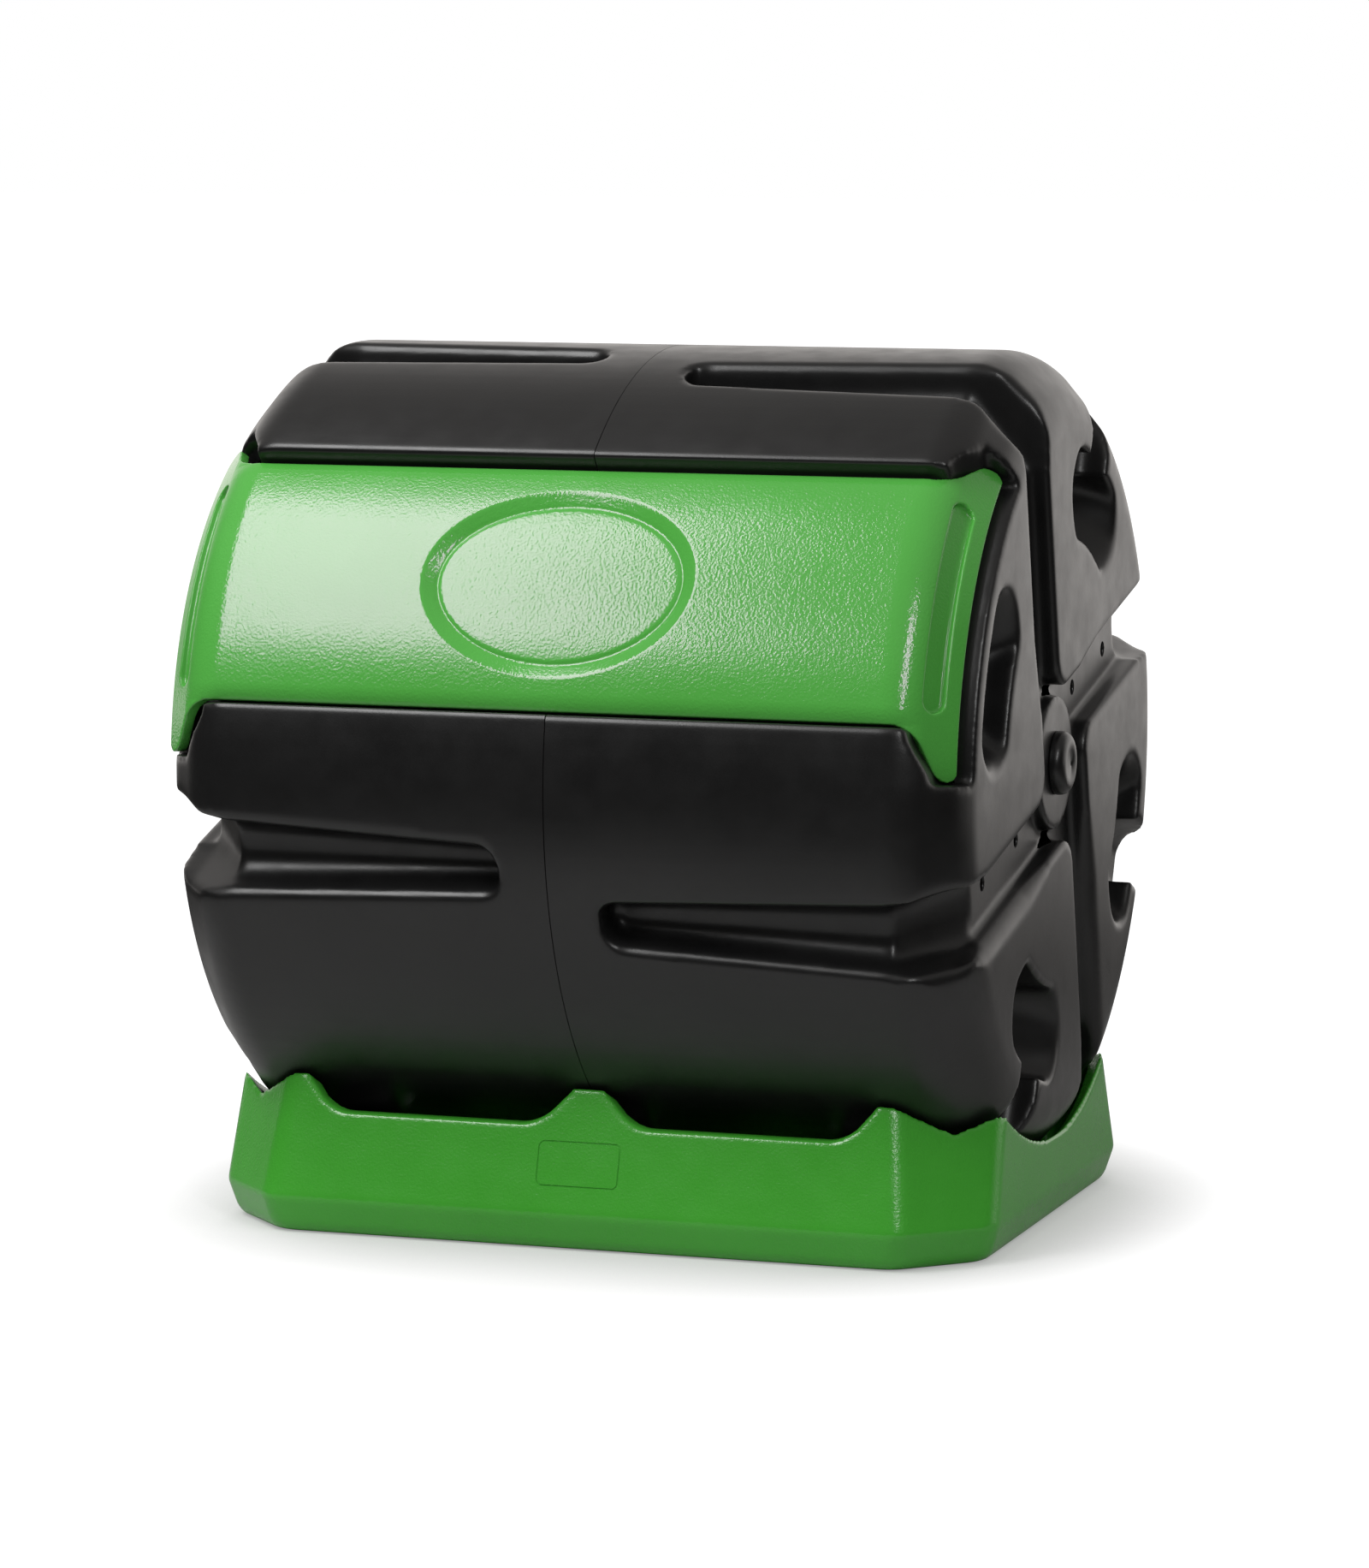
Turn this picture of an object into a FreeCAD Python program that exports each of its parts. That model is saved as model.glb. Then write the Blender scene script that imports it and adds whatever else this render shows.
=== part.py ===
"""Rolling composter: a two-part drum with a lift-off lid, turning on six rollers in a tray-shaped base.

Frame: X runs along the drum's axis, -Y is the front, +Z is up, and the origin is the middle of the
base's underside. Angles round the drum are counted from +Z towards the front. Millimetres throughout.
"""
import FreeCAD
import Part
import Sketcher
import math
import os

from FreeCAD import Placement, Rotation, Vector

# Driving dimensions: each is one cell of the sheet, named by its alias
SIZES = {
    # drum
    "drum_radius": 300.0,
    "drum_half_length": 298.0,
    "drum_lift": 39.5,
    "chamfer_length": 36.0,
    "chamfer_drop": 40.0,
    "shoulder_round": 14.0,
    "wall": 4.0,
    # grooves that part the lobes, as distances from the radial line that each one follows
    "groove_start": 36.0,
    "groove_depth": 32.0,
    "groove_ramp_length": 56.0,
    "groove_ramp_depth": 88.0,
    "groove_near_inner": 16.0,
    "groove_far_inner": 42.0,
    "groove_near_outer": 7.0,
    "groove_far_outer": 56.0,
    "channel_depth": 16.5,
    "groove_turn": 12.75,
    # hub and vents
    "hub_radius": 49.0,
    "hub_rise": 9.2,
    "hub_bore_radius": 12.0,
    "vent_radius": 6.0,
    "vent_inset": 121.0,
    "vent_pitch": 92.0,
    "vent_offset": 29.0,
    # hand grips in the ends
    "grip_turn": 54.25,
    "grip_sweep": 42.0,
    "grip_inset": 68.0,
    "grip_width": 67.0,
    "grip_depth": 45.0,
    "grip_round": 26.0,
    "notch_sweep": 11.0,
    # lid and its recess
    "lid_turn": 59.75,
    "lid_drop": 10.0,
    "lid_thickness": 8.0,
    "lid_sweep": 38.4,
    "lid_flange_depth": 34.0,
    "lid_offset": -7.0,
    "lid_seat_gap": 0.3,
    "lid_side_gap": 2.5,
    "lid_end_play": 8.0,
    "ear_sweep": 54.0,
    "ear_width": 18.0,
    "recess_foot_gap": 7.0,
    "mouth_sweep": 31.0,
    "mouth_rim": 26.0,
    "oval_half_length": 100.0,
    "oval_half_width": 72.0,
    "oval_depth": 4.5,
    "rib_start": 8.0,
    "rib_width": 9.0,
    "rib_depth": 2.0,
    "rib_sweep": 31.0,
    # seam flange and its fasteners
    "flange_thickness": 5.0,
    "flange_depth": 24.0,
    "bolt_inset": 16.0,
    "bolt_radius": 3.0,
    "bolt_head_radius": 5.5,
    "bolt_head_height": 4.0,
    "bolt_gap": 0.3,
    "bolt_tail": 2.0,
    "nut_height": 5.0,
    "nut_corner_radius": 5.8,
    # hub cap
    "cap_radius": 23.4,
    "cap_height": 11.0,
    "cap_round": 3.0,
    "cap_gap": 0.3,
    "cap_barb": 1.5,
    "cap_barb_length": 4.0,
    "cap_dimple_radius": 2.0,
    "cap_dimple_depth": 5.0,
    # base
    "foot_inset": 11.0,
    "band_inset": 2.5,
    "rim_inset": 6.0,
    "foot_flare": 18.5,
    "band_flare": 26.5,
    "foot_corner": 53.0,
    "band_corner": 57.0,
    "rim_corner": 64.0,
    "band_height": 27.0,
    "horn_angle": 42.26,
    "rim_margin": 1.5,
    "foot_wall": 8.0,
    "rim_wall": 18.0,
    "base_floor": 6.0,
    "saddle_gap": 2.6,
    "saddle_end_gap": 11.0,
    "dip_depth": 28.0,
    "horn_half_top": 9.0,
    "horn_half_foot": 35.0,
    "corner_horn_top": 10.0,
    "corner_horn_foot": 33.0,
    # rollers
    "roller_inset": 103.0,
    "roller_radius": 18.0,
    "roller_length": 44.0,
    "roller_crown": 2.0,
    "roller_angle": 28.0,
    "roller_gap": 0.3,
    "roller_side_gap": 1.0,
    "pin_radius": 5.0,
    "pin_gap": 0.15,
    "pin_head_radius": 8.0,
    "pin_head_height": 3.0,
    "cheek_thickness": 7.0,
    "cheek_margin": 9.0,
}

# Counts
GROOVES = 4
BOLTS = 8
HORNS = 3
FULL_TURN = 360.0
HALF_TURN = 180.0
SHEET = "Sizes"

# Cutters run this far past the faces that they open
OVERRUN = 40.0


class Dim:
    """A size from the sheet, or a sum made of such sizes: its formula and its present value."""

    def __init__(self, formula, value):
        self.formula = formula
        self.value = value

    def _joined(self, sign, other, result):
        text = other.formula if isinstance(other, Dim) else repr(float(other))
        return Dim(f"({self.formula} {sign} {text})", result)

    def __add__(self, other):
        return self._joined("+", other, self.value + number(other))

    def __sub__(self, other):
        return self._joined("-", other, self.value - number(other))

    def __mul__(self, other):
        return self._joined("*", other, self.value * number(other))

    def __truediv__(self, other):
        return self._joined("/", other, self.value / number(other))

    def __neg__(self):
        return Dim(f"(0 - {self.formula})", -self.value)


def number(item):
    """Present value of a Dim or of a plain number."""
    return item.value if isinstance(item, Dim) else float(item)


def fixed(value):
    """A plain number as a Dim."""
    return Dim(repr(float(value)), float(value))


def sine(angle):
    return Dim(f"sin({angle.formula})", math.sin(math.radians(angle.value)))


def cosine(angle):
    return Dim(f"cos({angle.formula})", math.cos(math.radians(angle.value)))


def bind(item, prop, size):
    """Ties one property of a document object to the sheet."""
    item.setExpression(prop, size.formula)


class Sizes:
    """Reads the sheet's cells as Dims, by alias, and works out the sizes that follow from them."""

    def __getattr__(self, alias):
        return Dim(f"{SHEET}.{alias}", SIZES[alias])

    # drum and lid

    @property
    def axis_height(self):
        return self.drum_radius + self.drum_lift

    @property
    def lid_radius(self):
        return self.drum_radius - self.lid_drop

    @property
    def lid_fold(self):
        return self.drum_half_length - self.chamfer_length

    @property
    def lid_flange_foot(self):
        return self.lid_radius - self.lid_flange_depth

    @property
    def ear_start(self):
        return self.drum_half_length - self.ear_width

    @property
    def mouth_half_length(self):
        return self.lid_fold - self.mouth_rim

    @property
    def grip_outer_radius(self):
        return self.drum_radius - self.grip_inset

    @property
    def grip_inner_radius(self):
        return self.grip_outer_radius - self.grip_width

    @property
    def bolt_circle_radius(self):
        return self.drum_radius - self.bolt_inset

    # base

    @property
    def foot_half_length(self):
        return self.drum_half_length - self.foot_inset

    @property
    def band_half_length(self):
        return self.drum_half_length - self.band_inset

    @property
    def rim_half_length(self):
        return self.drum_half_length - self.rim_inset

    @property
    def rim_half_width(self):
        return (self.drum_radius + self.saddle_gap) * sine(self.horn_angle)

    @property
    def rim_height(self):
        drop = (self.drum_radius + self.saddle_gap) * cosine(self.horn_angle)
        return self.axis_height - drop + self.rim_margin

    @property
    def foot_half_width(self):
        return self.rim_half_width + self.foot_flare

    @property
    def band_half_width(self):
        return self.rim_half_width + self.band_flare

    @property
    def dip_height(self):
        return self.rim_height - self.dip_depth

    @property
    def horn_pitch(self):
        return self.rim_half_length - self.rim_corner

    @property
    def roller_pitch(self):
        return self.drum_half_length - self.roller_inset


def make_sheet(doc):
    sheet = doc.addObject("Spreadsheet::Sheet", SHEET)
    for row, (alias, value) in enumerate(SIZES.items(), start=1):
        sheet.set(f"A{row}", alias)
        sheet.set(f"B{row}", str(value))
        sheet.setAlias(f"B{row}", alias)
    doc.recompute()
    return sheet


size = Sizes()
doc = FreeCAD.newDocument("rolling_composter")
make_sheet(doc)
ZERO = fixed(0.0)


# Sketches and features shared by the pieces

def new_body(label):
    body = doc.addObject("PartDesign::Body", label)
    body.Label = label
    return body


def origin_plane(body, role):
    for feature in body.Origin.OriginFeatures:
        if feature.Role == role:
            return feature
    raise ValueError(f"no origin plane {role}")


def new_sketch(body, name, role, lift=None, turn=None):
    """Sketch on one of the body's own planes, lifted along the plane's normal or turned about its X."""
    sketch = body.newObject("Sketcher::SketchObject", name)
    sketch.AttachmentSupport = [(origin_plane(body, role), "")]
    sketch.MapMode = "FlatFace"
    if turn is not None:
        sketch.AttachmentOffset = Placement(Vector(), Rotation(Vector(1, 0, 0), turn.value))
        bind(sketch, "AttachmentOffset.Rotation.Angle", turn)
    if lift is not None:
        sketch.AttachmentOffset = Placement(Vector(0, 0, lift.value), Rotation())
        bind(sketch, "AttachmentOffset.Base.z", lift)
    return sketch


def pin_point(sketch, line, corner):
    """Ties the start of a line to its two distances from the sketch's origin."""
    for kind, distance in zip(("DistanceX", "DistanceY"), corner):
        index = sketch.addConstraint(Sketcher.Constraint(kind, -1, 1, line, 1, distance.value))
        sketch.setExpression(f"Constraints[{index}]", distance.formula)


def add_outline(sketch, corners):
    """Closed outline of straight sides through the given corners."""
    spots = [Vector(number(across), number(up), 0) for across, up in corners]
    count = len(spots)
    first = sketch.GeometryCount
    for i in range(count):
        sketch.addGeometry(Part.LineSegment(spots[i], spots[(i + 1) % count]), False)
    for i in range(count):
        sketch.addConstraint(Sketcher.Constraint("Coincident", first + i, 2, first + (i + 1) % count, 1))
    for i, corner in enumerate(corners):
        pin_point(sketch, first + i, corner)
    return sketch


def add_circle(sketch, across, up, radius):
    """Circle whose centre and radius are tied to the sheet."""
    middle = Vector(across.value, up.value, 0)
    line = sketch.addGeometry(Part.Circle(middle, Vector(0, 0, 1), radius.value), False)
    for kind, distance in (("DistanceX", across), ("DistanceY", up)):
        index = sketch.addConstraint(Sketcher.Constraint(kind, -1, 1, line, 3, distance.value))
        sketch.setExpression(f"Constraints[{index}]", distance.formula)
    index = sketch.addConstraint(Sketcher.Constraint("Radius", line, radius.value))
    sketch.setExpression(f"Constraints[{index}]", radius.formula)
    return sketch


def finish_feature(body, feature):
    doc.recompute()
    body.Tip = feature
    return feature


def turned(body, name, corners, cut=False, sweep=None, turn=None):
    """Revolution, or cut, about X of an outline in the plane of X and the given direction."""
    sketch = add_outline(new_sketch(body, name + "_outline", "XZ_Plane", turn=turn), corners)
    feature = body.newObject("PartDesign::Groove" if cut else "PartDesign::Revolution", name)
    feature.Profile = sketch
    feature.ReferenceAxis = (sketch, ["H_Axis"])
    if sweep is None:
        feature.Angle = FULL_TURN
    else:
        feature.Midplane = True
        bind(feature, "Angle", sweep)
    return finish_feature(body, feature)


def prism(body, name, sketch, depth=None, cut=False, both_ways=False, backwards=False):
    """Pad or Pocket of a sketch; without a depth it runs through everything."""
    feature = body.newObject("PartDesign::Pocket" if cut else "PartDesign::Pad", name)
    feature.Profile = sketch
    if depth is None:
        feature.Type = "ThroughAll"
    else:
        feature.Type = "Length"
        bind(feature, "Length", depth)
    feature.Midplane = both_ways
    feature.Reversed = backwards
    return finish_feature(body, feature)


def lofted(body, name, sections, cut=False):
    feature = body.newObject("PartDesign::SubtractiveLoft" if cut else "PartDesign::AdditiveLoft", name)
    feature.Profile = sections[0]
    feature.Sections = [(section, [""]) for section in sections[1:]]
    feature.Ruled = True
    return finish_feature(body, feature)


def round_the_axis(body, name, originals, sketch, count, angle=FULL_TURN):
    """Copies of features turned about the sketch's own normal."""
    pattern = body.newObject("PartDesign::PolarPattern", name)
    pattern.Originals = originals
    pattern.Axis = (sketch, ["N_Axis"])
    pattern.Angle = angle
    pattern.Occurrences = count
    return finish_feature(body, pattern)


def rounded(body, name, base, wanted, radius):
    """Fillet of those edges of a feature that the test picks."""
    names = [f"Edge{i}" for i, edge in enumerate(base.Shape.Edges, start=1) if wanted(edge)]
    feature = body.newObject("PartDesign::Fillet", name)
    feature.Base = (base, names)
    bind(feature, "Radius", radius)
    return finish_feature(body, feature)


def on_circle(edge, along, radius):
    """True for a whole circle about X at the given place along it."""
    curve = edge.Curve
    if not isinstance(curve, Part.Circle):
        return False
    return abs(curve.Center.x - along.value) < 0.01 and abs(curve.Radius - radius.value) < 0.01


# Drum half: built about its own axis at the origin, open side at X 0, first groove towards +Z

SHOULDER_SHARE = math.tan(math.radians(22.5))


def half_form(label, skin, start):
    """Closed form of one half, set in from the outside by a skin: the hollow is this form set in."""
    body = new_body(label)
    radius = size.drum_radius - skin
    length = size.drum_half_length - skin
    shoulder = size.drum_half_length - size.chamfer_length - skin * SHOULDER_SHARE
    face_radius = size.drum_radius - size.chamfer_drop - skin * SHOULDER_SHARE
    outline = [(start, ZERO), (start, radius), (shoulder, radius), (length, face_radius), (length, ZERO)]
    barrel = turned(body, "barrel", outline)
    edges = [(shoulder, radius), (length, face_radius)]
    rounded(body, "shoulders", barrel, lambda edge: any(on_circle(edge, *spot) for spot in edges),
            size.shoulder_round - skin)
    cut_grooves(body, skin, length)
    raise_hub(body, skin, length)
    cut_grips(body, skin, length)
    cut_lid_recess(body, skin)
    return body


def cut_grooves(body, skin, length):
    """Four drafted grooves, each running on over the end as a channel to the hub."""
    top = size.drum_radius + OVERRUN
    face = length - size.channel_depth

    def section(name, along, near, far, foot):
        sketch = new_sketch(body, name, "YZ_Plane", lift=along)
        left, right = -(far + skin), -(near - skin)
        return add_outline(sketch, [(left, foot), (right, foot), (right, top), (left, top)])

    span = size.drum_half_length - size.groove_start
    ramp_start = size.drum_half_length - size.groove_ramp_length
    share = (ramp_start - size.groove_start) / span
    near_ramp = size.groove_near_inner + (size.groove_near_outer - size.groove_near_inner) * share
    far_ramp = size.groove_far_inner + (size.groove_far_outer - size.groove_far_inner) * share
    floor = size.drum_radius - size.groove_depth - skin
    foot = size.drum_radius - size.groove_ramp_depth - skin
    blind = section("groove_blind_end", size.groove_start - skin, size.groove_near_inner,
                    size.groove_far_inner, floor)
    ramp = section("groove_ramp", ramp_start - skin, near_ramp, far_ramp, floor)
    end = section("groove_foot", face, size.groove_near_outer, size.groove_far_outer, foot)
    groove = lofted(body, "groove", [blind, ramp, end], cut=True)
    left, right = -(size.groove_far_outer + skin), -(size.groove_near_outer - skin)
    inward = -(size.groove_far_outer + skin)
    plan = new_sketch(body, "channel_plan", "YZ_Plane", lift=face)
    add_outline(plan, [(left, inward), (right, inward), (right, top), (left, top)])
    channel = prism(body, "channel", plan, cut=True, backwards=True)
    round_the_axis(body, "grooves", [groove, channel], plan, GROOVES)


def raise_hub(body, skin, length):
    """Round hub disc standing on the channel floors."""
    plan = new_sketch(body, "hub_plan", "YZ_Plane", lift=length - size.channel_depth)
    add_circle(plan, ZERO, ZERO, size.hub_radius - skin)
    prism(body, "hub", plan, size.hub_rise)


def cut_grips(body, skin, length):
    """Four hand grips in the end; all but the one beside the lid open out through the rim."""
    inner = size.grip_inner_radius - skin
    outer = size.grip_outer_radius + skin
    floor = size.drum_half_length - size.grip_depth - skin
    past = size.drum_half_length + OVERRUN
    rim = size.drum_radius + OVERRUN
    extra = skin / size.grip_inner_radius * (FULL_TURN / math.pi)
    axis = new_sketch(body, "grip_axis", "YZ_Plane")
    grip = turned(body, "grip", [(floor, inner), (past, inner), (past, outer), (floor, outer)], cut=True,
                  sweep=size.grip_sweep + extra, turn=size.grip_turn)
    round_the_axis(body, "grips", [grip], axis, GROOVES)
    notch = turned(body, "notch", [(floor, inner), (past, inner), (past, rim), (floor, rim)], cut=True,
                   sweep=size.notch_sweep + extra, turn=size.grip_turn + 90.0)
    round_the_axis(body, "notches", [notch], axis, GROOVES - 1, HALF_TURN)


def chamfer_slope():
    return size.chamfer_drop / size.chamfer_length


def lid_inner_radius():
    return size.lid_radius - size.lid_thickness


def seat_radius():
    return lid_inner_radius() - size.lid_seat_gap


def cut_lid_recess(body, skin):
    """Stepped recess round the mouth: a seat for the lid's panel, its end flanges and their ears."""
    seat = seat_radius() - skin
    fold = size.lid_fold - size.lid_end_play - size.lid_thickness * SHOULDER_SHARE - skin * SHOULDER_SHARE
    foot = size.lid_flange_foot - size.recess_foot_gap - skin
    foot_along = fold + (seat - foot) / chamfer_slope()
    past = size.drum_half_length + OVERRUN
    rim = size.drum_radius + OVERRUN
    extra = (size.lid_side_gap + skin) / size.lid_radius * (FULL_TURN / math.pi)
    turn = size.lid_turn - size.groove_turn
    behind = fixed(-OVERRUN)
    outline = [(behind, seat), (fold, seat), (foot_along, foot), (past, foot), (past, rim), (behind, rim)]
    turned(body, "lid_recess", outline, cut=True, sweep=size.lid_sweep + extra, turn=turn)
    ear_along = size.ear_start - size.lid_end_play - size.lid_side_gap - skin
    ear_seat = seat - (ear_along - fold) * chamfer_slope()
    outline = [(ear_along, ear_seat), (foot_along, foot), (past, foot), (past, rim), (ear_along, rim)]
    turned(body, "ear_recess", outline, cut=True, sweep=size.ear_sweep + extra, turn=turn)


def make_half_mould():
    """One half shell: outer form, hollow, mouth, seam flange, hub bore, vents and bolt holes."""
    hollow = half_form("drum_hollow", size.wall, fixed(-OVERRUN))
    body = half_form("drum_half", ZERO, ZERO)
    shell = body.newObject("PartDesign::Boolean", "shell")
    shell.setObjects([hollow])
    shell.Type = "Cut"
    finish_feature(body, shell)
    add_seam_flange(body)
    turn = size.lid_turn - size.groove_turn
    rim = size.drum_radius + OVERRUN
    low = size.drum_radius / 2
    turned(body, "mouth", [(fixed(-OVERRUN), low), (size.mouth_half_length, low),
                           (size.mouth_half_length, rim), (fixed(-OVERRUN), rim)],
           cut=True, sweep=size.mouth_sweep, turn=turn)
    drill_half(body)
    return body


def add_seam_flange(body):
    """Inner flange along the seam, kept clear of the lid's recess."""
    extra = (size.lid_side_gap + size.wall) / size.lid_radius * (FULL_TURN / math.pi)
    inner = size.drum_radius - size.wall - size.flange_depth
    outer = size.drum_radius - size.wall / 2
    sweep = fixed(FULL_TURN) - size.lid_sweep - extra
    outline = [(ZERO, inner), (size.flange_thickness, inner), (size.flange_thickness, outer), (ZERO, outer)]
    turned(body, "seam_flange", outline, sweep=sweep, turn=size.lid_turn - size.groove_turn + HALF_TURN)


def drill_half(body):
    """Hub bore, two vents in each channel, and the bolt holes of the seam."""
    plan = new_sketch(body, "bore_plan", "YZ_Plane", lift=size.drum_half_length / 2)
    add_circle(plan, ZERO, ZERO, size.hub_bore_radius)
    prism(body, "hub_bore", plan, cut=True, backwards=True)
    plan = new_sketch(body, "vent_plan", "YZ_Plane", lift=size.drum_half_length / 2)
    outer_reach = size.drum_radius - size.vent_inset
    for reach in (outer_reach - size.vent_pitch, outer_reach):
        add_circle(plan, -size.vent_offset, reach, size.vent_radius)
    vents = prism(body, "vents", plan, cut=True, backwards=True)
    round_the_axis(body, "all_vents", [vents], plan, GROOVES)
    plan = new_sketch(body, "bolt_plan", "YZ_Plane")
    for angle in bolt_angles():
        add_circle(plan, -(size.bolt_circle_radius * sine(angle)), size.bolt_circle_radius * cosine(angle),
                   size.bolt_radius + size.bolt_gap)
    prism(body, "bolt_holes", plan, size.flange_thickness * 2, cut=True, backwards=True)


def bolt_angles():
    """Bolt places round the seam, evenly spaced on both sides of the lid, in the half's own frame."""
    step = FULL_TURN / (BOLTS + 1)
    return [size.lid_turn - size.groove_turn + step * (i + 1) for i in range(BOLTS)]


def place(node, formula):
    """Ties a whole placement to the sheet."""
    node.setExpression("Placement", formula)
    doc.recompute()
    return node


def turn_about_x(angle, base=(ZERO, ZERO, ZERO), yaw=0.0):
    """Placement formula: a yaw first, then a turn about X, then a shift."""
    across, along, up = (part.formula for part in base)
    spin = f"rotation(vector(1; 0; 0); {angle.formula})"
    if yaw:
        spin = f"{spin} * rotation(vector(0; 0; 1); {yaw})"
    return f"placement(vector({across}; {along}; {up}); {spin})"


def copy_of(label, source, formula):
    """The same moulding at a place of its own."""
    node = doc.addObject("Part::Compound", label)
    node.Label = label
    node.Links = source if isinstance(source, list) else [source]
    return place(node, formula)


def drum_place():
    return turn_about_x(size.groove_turn, (ZERO, ZERO, size.axis_height))


def drum_place_turned_over():
    """The drum's place after half a turn about the line through the middle of the lid."""
    return turn_about_x(size.lid_turn * 2 - size.groove_turn, (ZERO, ZERO, size.axis_height), HALF_TURN)


def make_drum_halves():
    half = make_half_mould()
    return [copy_of("drum_right_half", half, drum_place()),
            copy_of("drum_left_half", half, drum_place_turned_over())]


# Lid: built about the drum's axis with its middle towards +Z

def make_lid():
    """Curved panel with a flange folded down at each end, corner ears, flange ribs and an oval dish."""
    body = new_body("lid_blank")
    slope = chamfer_slope()
    inner = lid_inner_radius()
    fold = size.lid_fold
    inner_fold = fold - size.lid_thickness * SHOULDER_SHARE
    foot = size.lid_flange_foot
    foot_outer = (fold + (size.lid_radius - foot) / slope, foot)
    foot_inner = (inner_fold + (inner - foot) / slope, foot)
    panel = [(inner_fold, inner), foot_inner, foot_outer, (fold, size.lid_radius)]
    turned(body, "panel", panel + mirrored(panel)[::-1], sweep=size.lid_sweep)
    ear_low = inner - (size.ear_start - inner_fold) * slope
    ear_top = size.lid_radius - (size.ear_start - fold) * slope
    ear = [(size.ear_start, ear_low), foot_inner, foot_outer, (size.ear_start, ear_top)]
    rib = rib_outline(fold + size.rib_start, size.lid_radius - size.rib_start * slope)
    for outline in (ear, mirrored(ear)):
        turned(body, "ear", outline, sweep=size.ear_sweep)
    for outline in (rib, mirrored(rib)):
        turned(body, "rib", outline, cut=True, sweep=size.rib_sweep)
    lid = doc.addObject("Part::Cut", "lid")
    lid.Label = "lid"
    lid.Base = body
    lid.Tool = oval_cutter()
    return place(lid, turn_about_x(size.lid_turn, (size.lid_offset, ZERO, size.axis_height)))


def mirrored(outline):
    """The same outline at the other end."""
    return [(-along, radius) for along, radius in outline]


def rib_outline(along, radius):
    """Cross section of the pressed line in a flange, square to the flange."""
    far_along = along + size.rib_width
    far_radius = radius - size.rib_width * chamfer_slope()
    deep = size.rib_depth
    return [(along - deep, radius - deep), (far_along - deep, far_radius - deep),
            (far_along + deep, far_radius + deep), (along + deep, radius + deep)]


def oval_cutter():
    """Oval block that stops at a cylinder, so that the dish is equally deep all over the curved panel."""
    core = doc.addObject("Part::Cylinder", "oval_core")
    bind(core, "Radius", size.lid_radius - size.oval_depth)
    bind(core, "Height", size.drum_half_length)
    half = (size.drum_half_length / 2).formula
    place(core, f"placement(vector(-{half}; 0; 0); rotation(vector(0; 1; 0); 90))")
    cutter = doc.addObject("Part::Cut", "oval_cutter")
    cutter.Base, cutter.Tool = oval_block("oval_outer", size.oval_half_length, size.oval_half_width), core
    return cutter


def oval_block(name, half_length, half_width):
    oval = doc.addObject("Part::Ellipse", name + "_line")
    bind(oval, "MajorRadius", half_length)
    bind(oval, "MinorRadius", half_width)
    block = doc.addObject("Part::Extrusion", name)
    block.Base = oval
    block.DirMode = "Custom"
    block.Dir = Vector(0, 0, 1)
    block.Solid = True
    bind(block, "LengthFwd", size.drum_radius)
    return block


# Hub caps and the seam's fasteners, built along X at the origin

def make_hub_caps():
    """Round cap with a spigot and a snap-in barb, one at each end."""
    body = new_body("hub_cap")
    seat = size.drum_half_length - size.channel_depth + size.hub_rise
    top = seat + size.cap_height
    spigot = size.hub_bore_radius - size.cap_gap
    barb = size.hub_bore_radius + size.cap_barb
    barb_top = seat - size.wall - size.cap_gap
    barb_low = barb_top - size.cap_barb_length
    dimple = top - size.cap_dimple_depth
    outline = [(barb_low, ZERO), (barb_low, spigot - size.cap_barb), (barb_top - size.cap_barb, barb),
               (barb_top, barb), (barb_top, spigot), (seat, spigot), (seat, size.cap_radius),
               (top, size.cap_radius), (top, size.cap_dimple_radius), (dimple, size.cap_dimple_radius),
               (dimple, ZERO)]
    cap = turned(body, "cap", outline)
    rounded(body, "cap_edge", cap, lambda edge: on_circle(edge, top, size.cap_radius), size.cap_round)
    return [copy_of("hub_cap_right", body, drum_place()),
            copy_of("hub_cap_left", body, drum_place_turned_over())]


def make_seam_fasteners():
    """A bolt and a nut at each hole of the seam flange."""
    face = size.flange_thickness
    bolt = new_body("seam_bolt")
    tail = -(face + size.nut_height + size.bolt_tail)
    head = face + size.bolt_head_height
    turned(bolt, "bolt", [(tail, ZERO), (tail, size.bolt_radius), (face, size.bolt_radius),
                          (face, size.bolt_head_radius), (head, size.bolt_head_radius), (head, ZERO)])
    nut = new_body("seam_nut")
    plan = new_sketch(nut, "nut_plan", "YZ_Plane", lift=-(face + size.nut_height))
    corners = [fixed(60.0 * i) for i in range(6)]
    add_outline(plan, [(size.nut_corner_radius * cosine(corner), size.nut_corner_radius * sine(corner))
                       for corner in corners])
    add_circle(plan, ZERO, ZERO, size.bolt_radius + size.bolt_gap)
    prism(nut, "nut", plan, size.nut_height)
    return [seam_group("seam_bolts", bolt), seam_group("seam_nuts", nut)]


def seam_group(label, body):
    copies = []
    for i, angle in enumerate(bolt_angles()):
        spot = (ZERO, -(size.bolt_circle_radius * sine(angle)), size.bolt_circle_radius * cosine(angle))
        copies.append(copy_of(f"{label}_{i}", body, turn_about_x(angle, spot)))
    return copy_of(label, copies, drum_place())


# Base and its rollers

def roller_orbit():
    return size.drum_radius + size.roller_radius + size.roller_gap


def roller_reach():
    return roller_orbit() * sine(size.roller_angle)


def roller_rise():
    return size.axis_height - roller_orbit() * cosine(size.roller_angle)


def eight_sides(body, name, height, half_length, half_width, corner):
    """Level eight-sided outline of the base."""
    near_x, near_y = half_length - corner, half_width - corner
    sketch = new_sketch(body, name, "XY_Plane", lift=height)
    return add_outline(sketch, [(near_x, -half_width), (half_length, -near_y), (half_length, near_y),
                                (near_x, half_width), (-near_x, half_width), (-half_length, near_y),
                                (-half_length, -near_y), (-near_x, -half_width)])


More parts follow.
